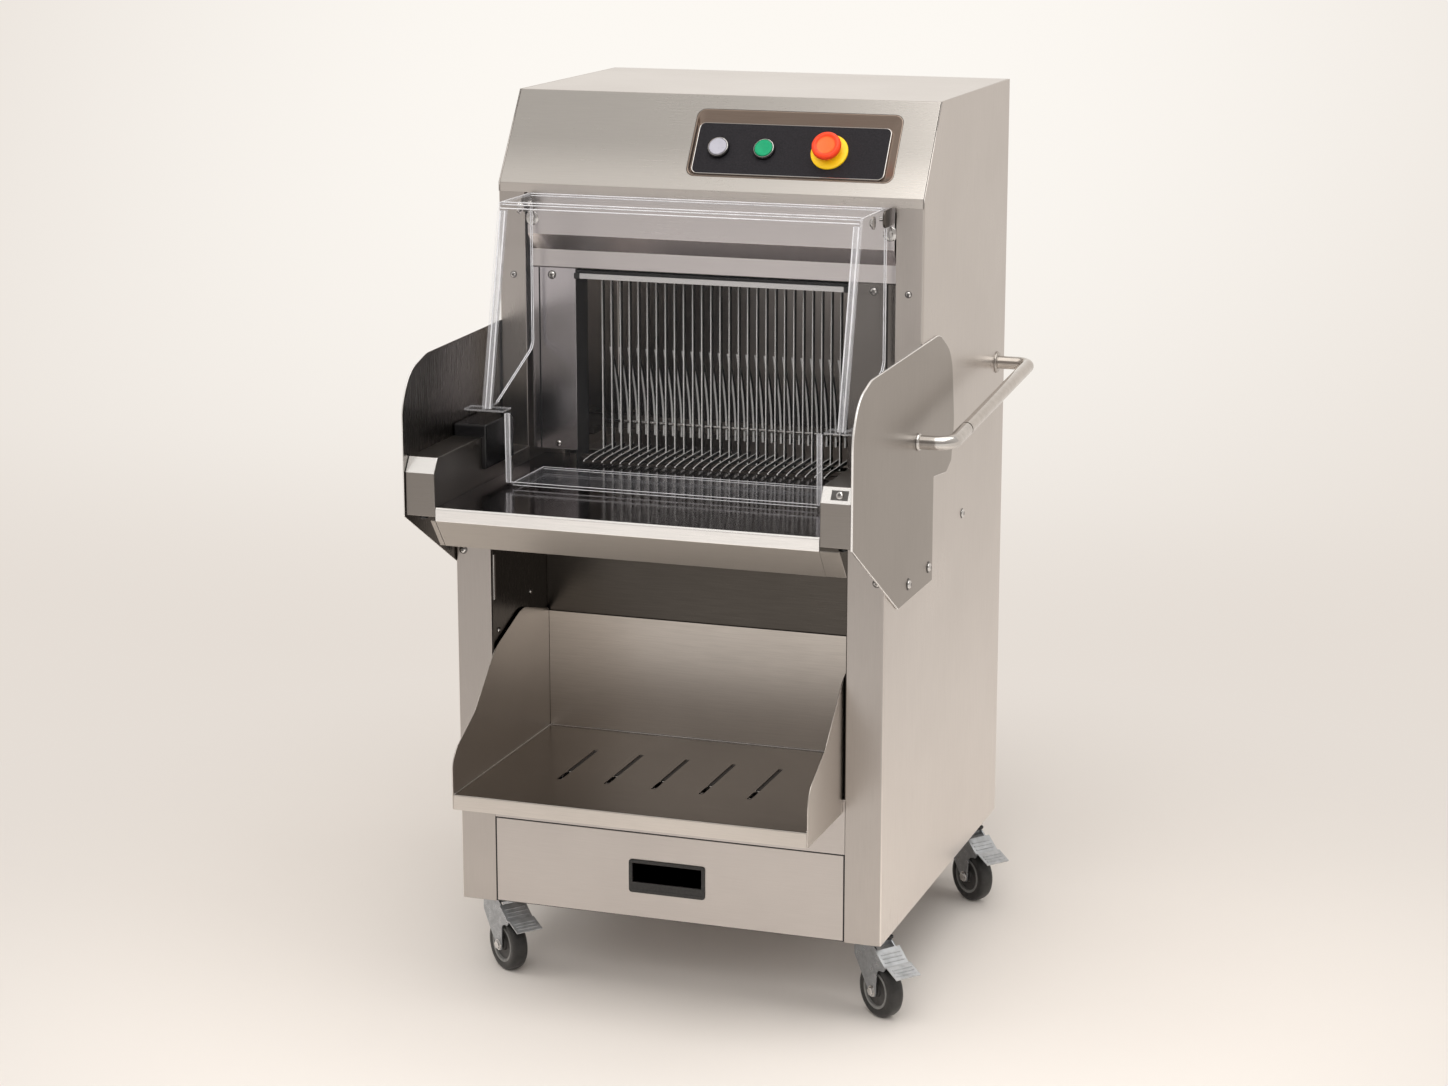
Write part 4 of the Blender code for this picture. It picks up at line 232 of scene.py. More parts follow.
def turned(profile, centre, axis, sides=40):
    """A profile of (radius, height) points in millimetres turned about an axis through the centre."""
    profile = np.asarray(profile, float) * MM
    first, second, along = frame_of(axis)
    points = (np.asarray(centre, float) + profile[:, :1, None] * circle(first, second, sides)
              + profile[:, 1, None, None] * along)
    faces = grid_faces(len(profile), sides)
    if not np.allclose(profile[0], profile[-1]):
        last = (len(profile) - 1) * sides
        faces += [list(range(sides))] if profile[0, 0] > 0 else []
        faces += [list(range(last, last + sides))] if profile[-1, 0] > 0 else []
    return points.reshape(-1, 3), faces


def pipe(path, radius, sides=28):
    """A circle carried along a path, kept from twisting."""
    path = np.asarray(path, float)
    along = unit(np.gradient(path, axis=0))
    firsts = [frame_of(along[0])[0]]
    for direction in along[1:]:
        firsts.append(unit(firsts[-1] - direction * (firsts[-1] @ direction)))
    firsts = np.array(firsts)
    return lofted(path[:, None] + radius * circle(firsts[:, None], np.cross(along, firsts)[:, None], sides))


# Pieces

def linked(name, mesh):
    """A new object in the scene that shows the mesh."""
    piece = bpy.data.objects.new(name, mesh)
    bpy.context.scene.collection.objects.link(piece)
    return piece


def mesh_of(name, shape):
    """A mesh in the shared frame from a shape in the machine's."""
    mesh = bpy.data.meshes.new(name)
    mesh.from_pydata((np.asarray(shape[0], float) - SHIFT).tolist(), [], shape[1])
    return mesh


def cleaned(mesh, facing=None):
    """Merge doubled points and turn the faces outwards, or the largest face to a direction."""
    work = bmesh.new()
    work.from_mesh(mesh)
    bmesh.ops.remove_doubles(work, verts=work.verts, dist=WELD)
    bmesh.ops.recalc_face_normals(work, faces=work.faces)
    if facing and max(work.faces, key=lambda face: face.calc_area()).normal.dot(facing) < 0:
        bmesh.ops.reverse_faces(work, faces=work.faces)
    work.to_mesh(mesh)
    work.free()


def weigh(piece):
    """Large faces rule the shading at rounded edges."""
    change = piece.modifiers.new("weighted", "WEIGHTED_NORMAL")
    change.keep_sharp = True
    change.weight = 90


def bevelled(piece, width, segments, angle):
    """Rounded edges where two faces meet at more than an angle in degrees."""
    change = piece.modifiers.new("edges", "BEVEL")
    change.width = width
    change.segments = segments
    change.limit_method = "ANGLE"
    change.angle_limit = math.radians(angle)
    weigh(piece)


def placed(piece, body, node):
    """Give a piece its body, and hide the CAD node that it stands for, if any."""
    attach(piece, body)
    if node:
        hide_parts(node)
    return piece


def shown(name, shape, finish, slot="stainless", body="cabinet", node=None, smooth=SMOOTH, weld=True,
          marks=None, weighted=True):
    """A piece from a shape, with its material or materials, body and CAD node; the slot is not used."""
    mesh = mesh_of(name, shape)
    if marks is not None:
        mesh.polygons.foreach_set("material_index", marks)
    if weld:
        cleaned(mesh)
    mesh.shade_smooth()
    mesh.set_sharp_from_angle(angle=smooth)
    piece = linked(name, mesh)
    for material in finish if isinstance(finish, list) else [finish]:
        mesh.materials.append(material)
    if weighted:
        weigh(piece)
    return placed(piece, body, node)


def slab(name, outline, axis, span, finish, slot="stainless", edge=0.0006, steps=2, **more):
    """A flat piece with rounded edges; a second material, where given, goes on its rim."""
    shape = slab_shape(outline, axis, span, edge, steps)
    marks = [1] * (len(shape[1]) - 2) + [0, 0] if isinstance(finish, list) else None
    return shown(name, shape, finish, slot, marks=marks, **more)


def lathe(name, profile, centre, axis, finish, slot="zinc", sides=40, **more):
    """A piece turned from a profile in millimetres."""
    return shown(name, turned(profile, centre, axis, sides), finish, slot, weighted=False, **more)


def screw(name, centre, axis, radius, rise, washer=0.0):
    """A button-head screw with a round recess, on a dark washer where one is asked for, in millimetres.

    The head's profile is a quarter of an ellipse: radius * sin a across, rise * cos a up.
    """
    sides, rim_angle = 30, 0.45
    angle = np.linspace(math.pi / 2, rim_angle, 6)
    dome = np.stack([radius * np.sin(angle), rise * np.cos(angle)], 1)
    recess = [dome[-1], (dome[-1][0] * 0.86, rise * 0.30), (0, rise * 0.22)]
    base = washer * 0.12
    foot = np.asarray(centre, float) + base * MM * frame_of(axis)[2]
    points, faces = turned(dome, foot, axis, sides)
    parts = [(points, faces[:-2]), turned(recess, foot, axis, sides)]
    if washer:
        ring = [(0, 0), (washer, 0), (washer, base * 0.7), (washer - base * 0.4, base), (radius * 0.9, base)]
        parts.append(turned(ring, centre, axis, sides))
    # The washer ring is dark as painted shade round the head.
    shape, bright = several(parts), len(parts[0][1])
    marks = [0] * bright + [1] * (len(shape[1]) - bright)
    return shown(name, shape, [BRIGHT, WASHER], "zinc", weighted=False, marks=marks, weld=False)


def dressed(node, finish, width, segments, body="cabinet"):
    """A CAD solid's copy with its triangles joined up and its edges rounded, shown in its place."""
    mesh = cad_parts[node].data.copy()
    work = bmesh.new()
    work.from_mesh(mesh)
    bmesh.ops.remove_doubles(work, verts=work.verts, dist=WELD)
    bmesh.ops.dissolve_limit(work, angle_limit=math.radians(1), verts=work.verts, edges=work.edges)
    work.to_mesh(mesh)
    work.free()
    mesh.materials.clear()
    mesh.materials.append(finish)
    mesh.shade_smooth()
    mesh.set_sharp_from_angle(angle=SMOOTH)
    piece = linked(node.replace("_", " ").title().replace(" ", "") + "Metal", mesh)
    bevelled(piece, width, segments, 40)
    return placed(piece, body, node)


def cut_out(piece, shape):
    """Take a shape out of a piece and keep the result as the piece's own mesh."""
    tool = linked("tool", mesh_of("tool", shape))
    cleaned(tool.data)
    piece.modifiers.clear()
    change = piece.modifiers.new("opening", "BOOLEAN")
    change.operation = "DIFFERENCE"
    change.solver = "EXACT"
    change.object = tool
    bpy.context.view_layer.update()
    seen = piece.evaluated_get(bpy.context.evaluated_depsgraph_get())
    mesh = bpy.data.meshes.new_from_object(seen)
    piece.modifiers.clear()
    piece.data = mesh
    bpy.data.objects.remove(tool)
    mesh.set_sharp_from_angle(angle=SMOOTH)
    weigh(piece)


def recolour(piece, finish, chosen):
    """Give a second material to the faces that a rule on their normals and middles picks."""
    faces = piece.data.polygons
    normal, middle = np.zeros(len(faces) * 3), np.zeros(len(faces) * 3)
    faces.foreach_get("normal", normal)
    faces.foreach_get("center", middle)
    piece.data.materials.append(finish)
    marks = np.zeros(len(faces), int)
    faces.foreach_get("material_index", marks)
    marks[chosen(normal.reshape(-1, 3), middle.reshape(-1, 3) + SHIFT)] = len(piece.data.materials) - 1
    faces.foreach_set("material_index", marks)


# Materials

def shader_of(name):
    """A new material, its node tree and its shader."""
    material = bpy.data.materials.new(name)
    material.use_nodes = True
    return material, material.node_tree, material.node_tree.nodes["Principled BSDF"]


def fed(tree, made, inputs):
    """Set each input of a node to its value, or link it to another node's output."""
    for title, value in inputs.items():
        if isinstance(value, bpy.types.NodeSocket):
            tree.links.new(value, made.inputs[title])
        else:
            made.inputs[title].default_value = value


def wired(tree, kind, output, inputs, **settings):
    """A new shader node with its settings and inputs; the result is its output."""
    made = tree.nodes.new("ShaderNode" + kind)
    for title, value in settings.items():
        setattr(made, title, value)
    fed(tree, made, inputs)
    return made.outputs[output]


def object_place(tree):
    """The shaded point in Object coordinates."""
    return wired(tree, "TexCoord", "Object", {})


def noise(tree, scale, stretch=(1, 1, 1), detail=4.0, rough=0.55):
    """A noise pattern in Object coordinates, stretched along each axis."""
    place = wired(tree, "Mapping", "Vector", {"Vector": object_place(tree), "Scale": stretch})
    return wired(tree, "TexNoise", "Fac",
                 {"Vector": place, "Scale": scale, "Detail": detail, "Roughness": rough})


def spread_of(tree, value, low, high):
    """A pattern's values between about .35 and .65 mapped to low and high."""
    return wired(tree, "MapRange", "Result",
                 {"Value": value, "From Min": 0.35, "From Max": 0.65, "To Min": low, "To Max": high})


def smooth_step(tree, value, low, high, start=0.0, end=1.0):
    """A value that passes smoothly from start, at low and below, to end, at high and above."""
    return wired(tree, "MapRange", "Result",
                 {"Value": value, "From Min": low, "From Max": high, "To Min": start, "To Max": end},
                 interpolation_type="SMOOTHSTEP")


def tinted(tree, value, dark, light):
    """Two colours, each a value or another node's output, mixed by a pattern."""
    ends = [end if isinstance(end, bpy.types.NodeSocket) else (*end, 1) for end in (dark, light)]
    return wired(tree, "Mix", "Result", {"Factor": value, "A": ends[0], "B": ends[1]}, data_type="RGBA")


def toned(tree, pattern, colour, darker, lighter):
    """A colour that a pattern makes darker by one share and lighter by another."""
    colour = np.array(colour)
    return tinted(tree, spread_of(tree, pattern, 0.0, 1.0), tuple(colour * (1 - darker)),
                  tuple(np.minimum(colour * (1 + lighter), 1)))


def bumped(tree, value, strength, distance):
    """A pattern as relief of a height in metres."""
    return wired(tree, "Bump", "Normal", {"Strength": strength, "Distance": distance, "Height": value})


def brushed(name, colour, roughness, stretch, contrast=0.016, bump=0.035, metallic=1.0, fade=None):
    """Brushed steel: fine lines along the stretched axis over slow, cloudy changes of tone.

    A fade is (low height, high height, share), painted shade that grows upward: the tone passes from full
    below to that share above.
    """
    material, tree, shader = shader_of(name)
    line_scale, cloud_scale, cloud_share, cloud_depth, gloss_change = 62.0, 4.5, 0.45, 0.04, 0.03
    lines = noise(tree, line_scale, stretch, 5.0, 0.6)
    clouds = noise(tree, cloud_scale, detail=3.0)
    pattern = wired(tree, "Mix", "Result", {"Factor": cloud_share, "A": lines, "B": clouds})
    shade = toned(tree, pattern, colour, contrast + cloud_depth, contrast)
    if fade:
        height = wired(tree, "SeparateXYZ", "Z", {0: object_place(tree)})
        scale = smooth_step(tree, height, fade[0], fade[1], 1.0, fade[2])
        shade = wired(tree, "VectorMath", "Vector", {0: shade, "Scale": scale}, operation="SCALE")
    gloss = spread_of(tree, pattern, roughness + gloss_change, roughness - gloss_change)
    fed(tree, shader, {"Base Color": shade, "Roughness": gloss, "Metallic": metallic,
                       "Normal": bumped(tree, lines, bump, 0.0002)})
    return material


def plain(name, colour, roughness, scale=90.0, bump=0.08, metallic=0.0, spread=0.08, coat=0.0, specular=0.5):
    """Moulded or plated finish: a fine grain in tone, gloss and relief."""
    material, tree, shader = shader_of(name)
    grain = noise(tree, scale)
    fed(tree, shader, {"Base Color": toned(tree, grain, colour, spread, spread),
                       "Roughness": spread_of(tree, grain, roughness + 0.04, roughness - 0.04),
                       "Metallic": metallic, "Coat Weight": coat, "Coat Roughness": 0.06,
                       "Specular IOR Level": specular, "Normal": bumped(tree, grain, bump, 0.0004)})
    return material


def clear(name, tint, alpha_face, alpha_rim, roughness):
    """Clear sheet: nearly see-through face on, denser towards a glancing view."""
    material, tree, shader = shader_of(name)
    facing = wired(tree, "LayerWeight", "Facing", {"Blend": 0.35})
    alpha = wired(tree, "MapRange", "Result", {"Value": facing, "To Min": alpha_face, "To Max": alpha_rim})
    fed(tree, shader, {"Base Color": toned(tree, noise(tree, 22.0, detail=3.0), tint, 0.05, 0.0),
                       "Alpha": alpha, "Roughness": roughness, "IOR": 1.49, "Specular IOR Level": 1.0,
                       "Coat Weight": 0.6, "Coat Roughness": 0.02})
    return material


STEEL_COLOUR = (0.560, 0.526, 0.505)
ACROSS = (0.35, 14.0, 14.0)     # lines along X
UPRIGHT = (14.0, 14.0, 0.35)    # lines along Z
INWARD = (14.0, 0.35, 14.0)     # lines along Y
STEEL = brushed("satin steel, lines across", STEEL_COLOUR, 0.31, ACROSS)
STEEL_UP = brushed("satin steel, lines upright", STEEL_COLOUR, 0.31, UPRIGHT)
STEEL_IN = brushed("satin steel, lines inward", (0.52, 0.487, 0.455), 0.30, INWARD)
# Painted light: the hood steel is a lit copy of the cabinet steel, and its fade paints it darker up the slope
# and lighter at the slope's foot; the roof steel is its copy toned for the roof.
HOOD_STEEL = brushed("hood steel, lines across", (0.84, 0.80, 0.76), 0.29, ACROSS, fade=(1.139, 1.205, 0.72))
ROOF_STEEL = brushed("roof steel", (0.79, 0.755, 0.73), 0.31, ACROSS)
# Painted light: the side steel is a lit copy of the cabinet steel, painted darker towards the top by its
# fade; the post steel is its shaded copy for the front flanges.
SIDE_STEEL = brushed("side steel, lines upright", (0.85, 0.80, 0.76), 0.30, UPRIGHT, fade=(0.16, 0.80, 0.76))
POST_STEEL = brushed("post steel, lines upright", (0.50, 0.467, 0.443), 0.31, UPRIGHT)
# Painted shade: the wing steel is a darker copy of the side's steel, and the shaded wing steel a still darker
# one for the left wing's inner face.
WING_STEEL = brushed("wing steel, lines upright", (0.345, 0.315, 0.288), 0.30, UPRIGHT)
INNER_WING_STEEL = brushed("shaded wing steel", (0.15, 0.138, 0.127), 0.28, UPRIGHT)
# Painted shade: the arm steel is a darker copy of the cabinet steel.
ARM_STEEL = brushed("arm steel, lines across", (0.33, 0.307, 0.286), 0.30, ACROSS)
APRON_STEEL = brushed("apron steel, lines across", (0.42, 0.39, 0.36), 0.32, ACROSS)
# Painted highlight: a near-white copy of the steel for rolled edges, rims and chamfers that face the light.
EDGE_HIGHLIGHT_STEEL = brushed("painted edge highlight", (0.95, 0.94, 0.93), 0.22, ACROSS, 0.03, 0.05, 0.75)
HEADER_STEEL = brushed("header steel", (0.82, 0.79, 0.80), 0.30, ACROSS)
SHADED_STEEL = brushed("shaded header steel", (0.90, 0.82, 0.80), 0.24, (5.0, 2.0, 2.0), 0.14, 0.06)
# Painted light and shade: the left fascia gets a lit copy and the right fascia a shaded copy of the same
# steel.
FASCIA_STEEL = brushed("left fascia steel, painted light", (0.74, 0.72, 0.76), 0.22, UPRIGHT)
DIM_FASCIA_STEEL = brushed("right fascia steel, painted shade", (0.19, 0.178, 0.170), 0.22, UPRIGHT)
TABLE_STEEL = brushed("polished table steel", (0.33, 0.305, 0.31), 0.12, INWARD, 0.03, 0.05)
BRIGHT = plain("bright plated steel", (0.74, 0.73, 0.72), 0.17, 60.0, 0.03, 1.0, 0.05)
ZINC = plain("zinc plate", (0.42, 0.44, 0.465), 0.30, 110.0, 0.12, 1.0, 0.13)
ZINC_DARK = plain("worn zinc pressing", (0.46, 0.475, 0.495), 0.33, 70.0, 0.12, 0.6, 0.14)
# Painted shade: the washer ring under a screw head is dark as the shade round the head.
WASHER = plain("washer in painted shade", (0.16, 0.155, 0.15), 0.30, 90.0, 0.08, 1.0, 0.12)
# Painted light on the blades: the flanks are a dark shaded copy of the blade steel and the ground front edges
# a near-white painted highlight.
BLADE = brushed("blade flanks, painted shade", (0.10, 0.098, 0.098), 0.26, UPRIGHT, 0.12, 0.1)
GROUND_EDGE_HIGHLIGHT = brushed("painted highlight on ground blade edges", (0.95, 0.95, 0.95), 0.36, UPRIGHT, 0.06, 0.1, 0.12)
FINGER = brushed("finger flanks", (0.055, 0.055, 0.055), 0.30, UPRIGHT, 0.12, 0.1)
# Painted highlight: a bright copy of the finger steel for the fingers' rims.
FINGER_RIM_HIGHLIGHT = brushed("painted highlight on finger rims", (0.78, 0.78, 0.78), 0.30, UPRIGHT, 0.06, 0.05, 0.25)
DARK = brushed("dark steel", (0.17, 0.155, 0.14), 0.38, ACROSS, 0.10, 0.1)
BAY_STEEL = brushed("shaded bay steel", (0.105, 0.095, 0.085), 0.30, ACROSS, 0.07, 0.1)
BAY_SIDE_STEEL = brushed("shaded bay walls", (0.085, 0.076, 0.068), 0.28, UPRIGHT, 0.08, 0.1)
# Black steel, also used for dark sheets that paint the shade in gaps and slots.
BLACK_STEEL_AND_GAP_SHADE = brushed("black throat steel, also painted gap shade", (0.016, 0.016, 0.017), 0.34, UPRIGHT, 0.12, 0.1, 0.3)
BLACK = plain("black moulded plastic", (0.016, 0.016, 0.0165), 0.44, 320.0, 0.16, 0.0, 0.2)
PULL_BLACK = plain("black pull", (0.026, 0.026, 0.026), 0.50, 320.0, 0.14, 0.0, 0.2)
BLACK_GLOSS = plain("glossy black plastic", (0.008, 0.008, 0.009), 0.16, 200.0, 0.03, 0.0, 0.2)
CHARCOAL = plain("charcoal control plate", (0.016, 0.015, 0.018), 0.60, 500.0, 0.08, 0.0, 0.2, 0.0, 0.15)
WHITE_CAP = plain("white button lens", (0.36, 0.36, 0.42), 0.30, 160.0, 0.03, 0.0, 0.03, 0.3)
GREEN_CAP = plain("green button lens", (0.0, 0.27, 0.12), 0.34, 160.0, 0.03, 0.0, 0.05, 0.0, 0.35)
RED_CAP = plain("red mushroom head", (0.80, 0.052, 0.012), 0.36, 160.0, 0.04, 0.0, 0.05, 0.0, 0.35)
DISH_RED = plain("orange-red dish", (0.88, 0.125, 0.022), 0.40, 160.0, 0.04, 0.0, 0.05, 0.0, 0.35)
YELLOW = plain("yellow collar", (0.86, 0.56, 0.01), 0.38, 160.0, 0.04, 0.0, 0.05, 0.0, 0.35)
RUBBER = plain("black tyre rubber", (0.020, 0.0195, 0.019), 0.36, 130.0, 0.18, 0.0, 0.22)
HUB = plain("grey hub", (0.045, 0.043, 0.042), 0.42, 130.0, 0.10, 0.0, 0.15)
HUB_RING = plain("pale hub ring", (0.19, 0.19, 0.185), 0.40, 130.0, 0.10, 0.0, 0.12)
PAINT = plain("blue-grey motor paint", (0.12, 0.14, 0.17), 0.42, 90.0, 0.15, 0.0, 0.1)
RECESS_STEEL = brushed("warm recess steel", (0.40, 0.32, 0.27), 0.36, ACROSS, 0.05, 0.1)
STRIP_STEEL = brushed("grey strip steel", (0.62, 0.62, 0.63), 0.30, ACROSS, 0.06, 0.1, 0.7)
SATIN_CAST = plain("bright cast steel", (0.66, 0.64, 0.62), 0.15, 70.0, 0.02, 1.0, 0.05)
HANDLE_STEEL = plain("polished bar steel", (0.62, 0.59, 0.56), 0.13, 70.0, 0.02, 1.0, 0.05)
TRAY_STEEL = brushed("satin tray steel", (0.68, 0.635, 0.59), 0.32, ACROSS, 0.05, 0.1)
# Painted shade: a darker copy of the tray steel for the tray's upward faces in the bay.
SHADED_TRAY_FLOOR_STEEL = brushed("tray floor, painted shade", (0.38, 0.350, 0.322), 0.24, ACROSS, 0.04, 0.06)
CLEAR = clear("clear sheet", (0.30, 0.31, 0.34), 0.008, 0.10, 0.05)
# Painted highlight: a paler, denser copy of the clear sheet for its rims and edge-on strips.
CLEAR_EDGE = clear("clear edge, painted highlight", (0.62, 0.63, 0.67), 0.30, 0.62, 0.12)
# Painted highlight: the colour of the bright beads along the guard's edges.
GLINT = plain("painted highlight along clear edges", (0.78, 0.79, 0.83), 0.22, 60.0, 0.05, 0.35, 0.10)


# Cabinet

def side_panel(end, side):
    """The side sheet, its front flange and upper flange, folded from one sheet.

    The flanges are quarter-round folds carried up Z; the sheet's face is one outline.
    """
    x = side * HALF
    outline = np.array([(BEND, FOOT), (DEPTH, FOOT), (DEPTH, TOP), (ROOF, TOP), (STEP, SLOPE_FOOT),
                        (STEP, LIP_FOOT), (STEP + BEND, LIP_FOOT), (STEP + BEND, POST_TOP), (BEND, POST_TOP)])
    parts = [(to_axis(outline, x, "X"), [list(range(len(outline)))])]
    angle = np.linspace(0, math.pi / 2, 7)
    for front, width, low, high in ((0.0, POST, FOOT, POST_TOP), (STEP, UPPER, POST_TOP, LIP_FOOT)):
        across = np.append(x - side * BEND * (1 - np.cos(angle)), side * (HALF - width))
        back = np.append(front + BEND * (1 - np.sin(angle)), front)
        points = np.vstack([np.stack([across, back, np.full(len(across), z)], 1) for z in (low, high)])
        parts.append((points, grid_faces(2, len(across), False)))
    piece = shown(end + "SidePanel", several(parts), SIDE_STEEL, weld=False, weighted=False,
                  node="side_panel_" + end.lower())
    cleaned(piece.data, Vector((side, 0, 0)))
    # Painted shade: the front flange's forward faces get the darker post copy of the side's steel.
    recolour(piece, POST_STEEL, lambda normal, middle: (normal[:, 1] < -0.9) & (middle[:, 1] < POST))
    wall = piece.modifiers.new("sheet", "SOLIDIFY")
    wall.thickness = SHEET
    wall.offset = -1
    wall.use_even_offset = True
    wall.use_rim = True
    bevelled(piece, 0.0007, 2, 60)


for end, side in SIDES:
    side_panel(end, side)


def on_slope(points):
    """Points of the slanted control face (across, up the slope, out of it) in the machine's frame."""
    points = np.asarray(points, float)
    sine, cosine = math.sin(SLOPE), math.cos(SLOPE)
    return np.stack([points[:, 0], STEP + points[:, 1] * cosine - points[:, 2] * sine,
                     SLOPE_FOOT + points[:, 1] * sine + points[:, 2] * cosine], 1)


OUT = on_slope([(0, 0, 1)])[0] - on_slope([(0, 0, 0)])[0]
RIM = ((-0.037, 0.265), (0.022, 0.1285))            # the recess's spans across and up the slope
SUNK = ((-0.0325, 0.2490), (0.0300, 0.1105))        # its floor's spans
RECESS_DEPTH = 0.010
PLATE_AT = -0.0064
CONTROL_LINE = 0.070                                # the controls' height up the slope


def make_hood():
    """The roof, the slanted control face and its lip, folded from one sheet, with the recess's hole."""
    section = folded([(STEP, LIP_FOOT), (STEP, SLOPE_FOOT), (ROOF, TOP), (DEPTH, TOP)], SHEET,
                     [0, 0.0025, 0.004, 0])
    hood = slab("TopHood", section, "X", (-INNER, INNER), HOOD_STEEL, node="top_hood")
    hole = box_outline((RIM[0][0] - GAP, RIM[0][1] + GAP), (RIM[1][0] - GAP, RIM[1][1] + GAP), 0.0133, 8)
    cut_out(hood, lofted([on_slope(to_axis(hole, height, "Z")) for height in (-0.012, 0.012)]))
    # Painted light: the roof's upward faces get their own tone of the same sheet's steel.
    recolour(hood, ROOF_STEEL, lambda normal, middle: normal[:, 2] > 0.95)


make_hood()


def make_recess():
    """The pressed recess: rounded rings that go from the rim down its slanted walls to the floor.

    Each ring is (share of the way from rim to floor, pull inwards, height out of the slope).
    """
    levels = [(0.0, 0.0, -RECESS_DEPTH), (0.0, 0.0, -0.0008), (0.0, 0.0004, 0.0), (0.0, 0.0014, 0.0001),
              (0.0, 0.0026, -0.0009), (0.9, 0.0026, -0.0078), (1.0, 0.0026, -0.0085)]
    rings = []
    for share, pull, height in levels:
        x, y = [[rim + (sunk - rim) * share + way * pull * (1 - share)
                 for rim, sunk, way in zip(*spans, (1, -1))] for spans in zip(RIM, SUNK)]
        radius = 0.013 - 0.004 * share - pull * 0.5
        rings.append(on_slope(to_axis(box_outline(x, y, radius, 8), height, "Z")))
    shown("ControlRecess", lofted(rings), RECESS_STEEL, node="control_recess")
    edge = 0.0006
    (left, right), (low, high) = SUNK
    outline = box_outline((left + edge, right - edge), (low + edge, high - edge), 0.0084, 8)
    points, faces = slab_shape(outline, "Z", (-0.0082, PLATE_AT - GAP), 0.0003)
    shown("ControlPlate", (on_slope(points), faces), CHARCOAL, "control_plate", node="control_plate")
    path = on_slope(to_axis(inset(outline, -0.0001), -0.0068, "Z"))
    along = unit(np.roll(path, -1, 0) - np.roll(path, 1, 0))
    sides = 8
    ring = path[:, None] + 0.0007 * circle(OUT, np.cross(along, OUT)[:, None], sides)
    faces = [[index % (len(path) * sides) for index in face] for face in grid_faces(len(path) + 1, sides)]
    shown("ControlPlateBead", (ring.reshape(-1, 3), faces), BRIGHT, weighted=False)


make_recess()


def control_at(across):
    """The place of a control on its plate."""
    return on_slope([(across, CONTROL_LINE, PLATE_AT)])[0]


def push_button(colour, across, finish):
    """A bezel with a bright ring in it, and a slightly dished cap on its own body."""
    centre, title = control_at(across), colour.title() + "Button"
    bezel = [(13.3, 1.0), (13.3, 5.2), (13.6, 5.5), (14.8, 5.5), (15.5, 5.0), (15.8, 4.2), (15.8, 0),
             (11.0, 0), (11.0, -32), (6.5, -32), (6.5, 1.0), (13.3, 1.0)]
    lathe(title + "Bezel", bezel, centre, OUT, BLACK_GLOSS, "black_plastic", 56,
          node=colour + "_button_bezel")
    ring = [(13.45, 5.0), (13.45, 6.1), (13.8, 6.4), (14.3, 6.1), (14.5, 5.0), (13.45, 5.0)]
    lathe(title + "Ring", ring, centre, OUT, BRIGHT, sides=56)
    cap = [(0, 6.8), (4.5, 6.9), (9.5, 7.3), (11.2, 7.5), (12.3, 7.2), (12.8, 6.4), (12.8, 4.5), (6.0, 4.5),
           (6.0, -29), (0, -29)]
    lathe(title + "Cap", cap, centre, OUT, finish, colour + "_cap", 56, body=colour + "_button",
          node=colour + "_button_cap")


push_button("white", 0.0025, WHITE_CAP)
push_button("green", 0.070, GREEN_CAP)


def stop_button():
    """The yellow collar and the red head with its raised rim and dished middle."""
    centre = control_at(0.165)
    collar = [(6.5, 3.0), (25.3, 3.0), (26.2, 2.6), (26.8, 1.8), (26.8, 0), (11.0, 0), (11.0, -32),
              (6.5, -32), (6.5, 3.0)]
    lathe("StopCollar", collar, centre, OUT, YELLOW, "yellow_collar", 64, node="stop_collar")
    head = [(0, 21.5), (11.0, 21.7), (13.0, 22.2), (14.6, 24.0), (16.6, 24.5), (18.8, 23.9), (20.3, 22.2),
            (21.0, 19.5), (20.9, 17.0), (19.9, 14.5), (18.3, 13.5), (10.0, 13.2), (9.8, 8.6), (6.0, 8.6),
            (6.0, -27), (0, -27)]
    piece = lathe("StopHead", head, centre, OUT, RED_CAP, "red_cap", 64, body="stop_button", node="stop_head")
    dish_radius, dish_depth = 0.0128, 0.020
    recolour(piece, DISH_RED, lambda normal, middle: ((middle - centre) @ OUT > dish_depth)
             & (np.linalg.norm(np.cross(middle - centre, OUT), axis=1) < dish_radius))


stop_button()

# The cover is thinner than the solid, so that its screws end inside the cabinet's depth.
slab("RearCover", box_outline((-INNER, INNER), (FOOT + GAP, TOP - SHEET - GAP)), "Y",
     (DEPTH - SHEET, DEPTH - 0.0008), STEEL_UP, edge=0.0008, node="rear_panel")


def make_header():
    """The band, the angled part and the beam under the hood, folded from one sheet, and the guard's lugs."""
    section = folded([(0.232, 1.017), (BEAM, 1.017), (BEAM, 1.043), (0.178, 1.066), (0.178, 1.135)], 0.0015,
                     [0, 0.0018, 0.002, 0.002, 0])
    piece = slab("HeaderPanel", section, "X", (-HEADER_HALF, HEADER_HALF), HEADER_STEEL, edge=0.0004,
                 node="header_panel")
    # Painted shade with blotchy painted reflection: the angled face gets its own copy of the header's steel.
    recolour(piece, SHADED_STEEL, lambda normal, middle: (normal[:, 2] < -0.2) & (normal[:, 1] < -0.5))
    lug = fillet(box_outline((0.143, 0.1785), (1.100, 1.124)), [0.009, 0.0, 0.0, 0.009])
    pin = [(0, 0), (2.8, 0), (3.5, 0.7), (3.5, 7.8), (0, 7.8)]
    for end, side in SIDES:
        slab("GuardLug" + end, lug, "X", (side * 0.2645, side * 0.2675), DARK, edge=0.0004)
        lathe("GuardPin" + end, pin, (side * 0.2566, *PIVOT), (side, 0, 0), BRIGHT, sides=24)


make_header()

JOINT = (0.2585, 0.2607)            # the dark line beside a fascia
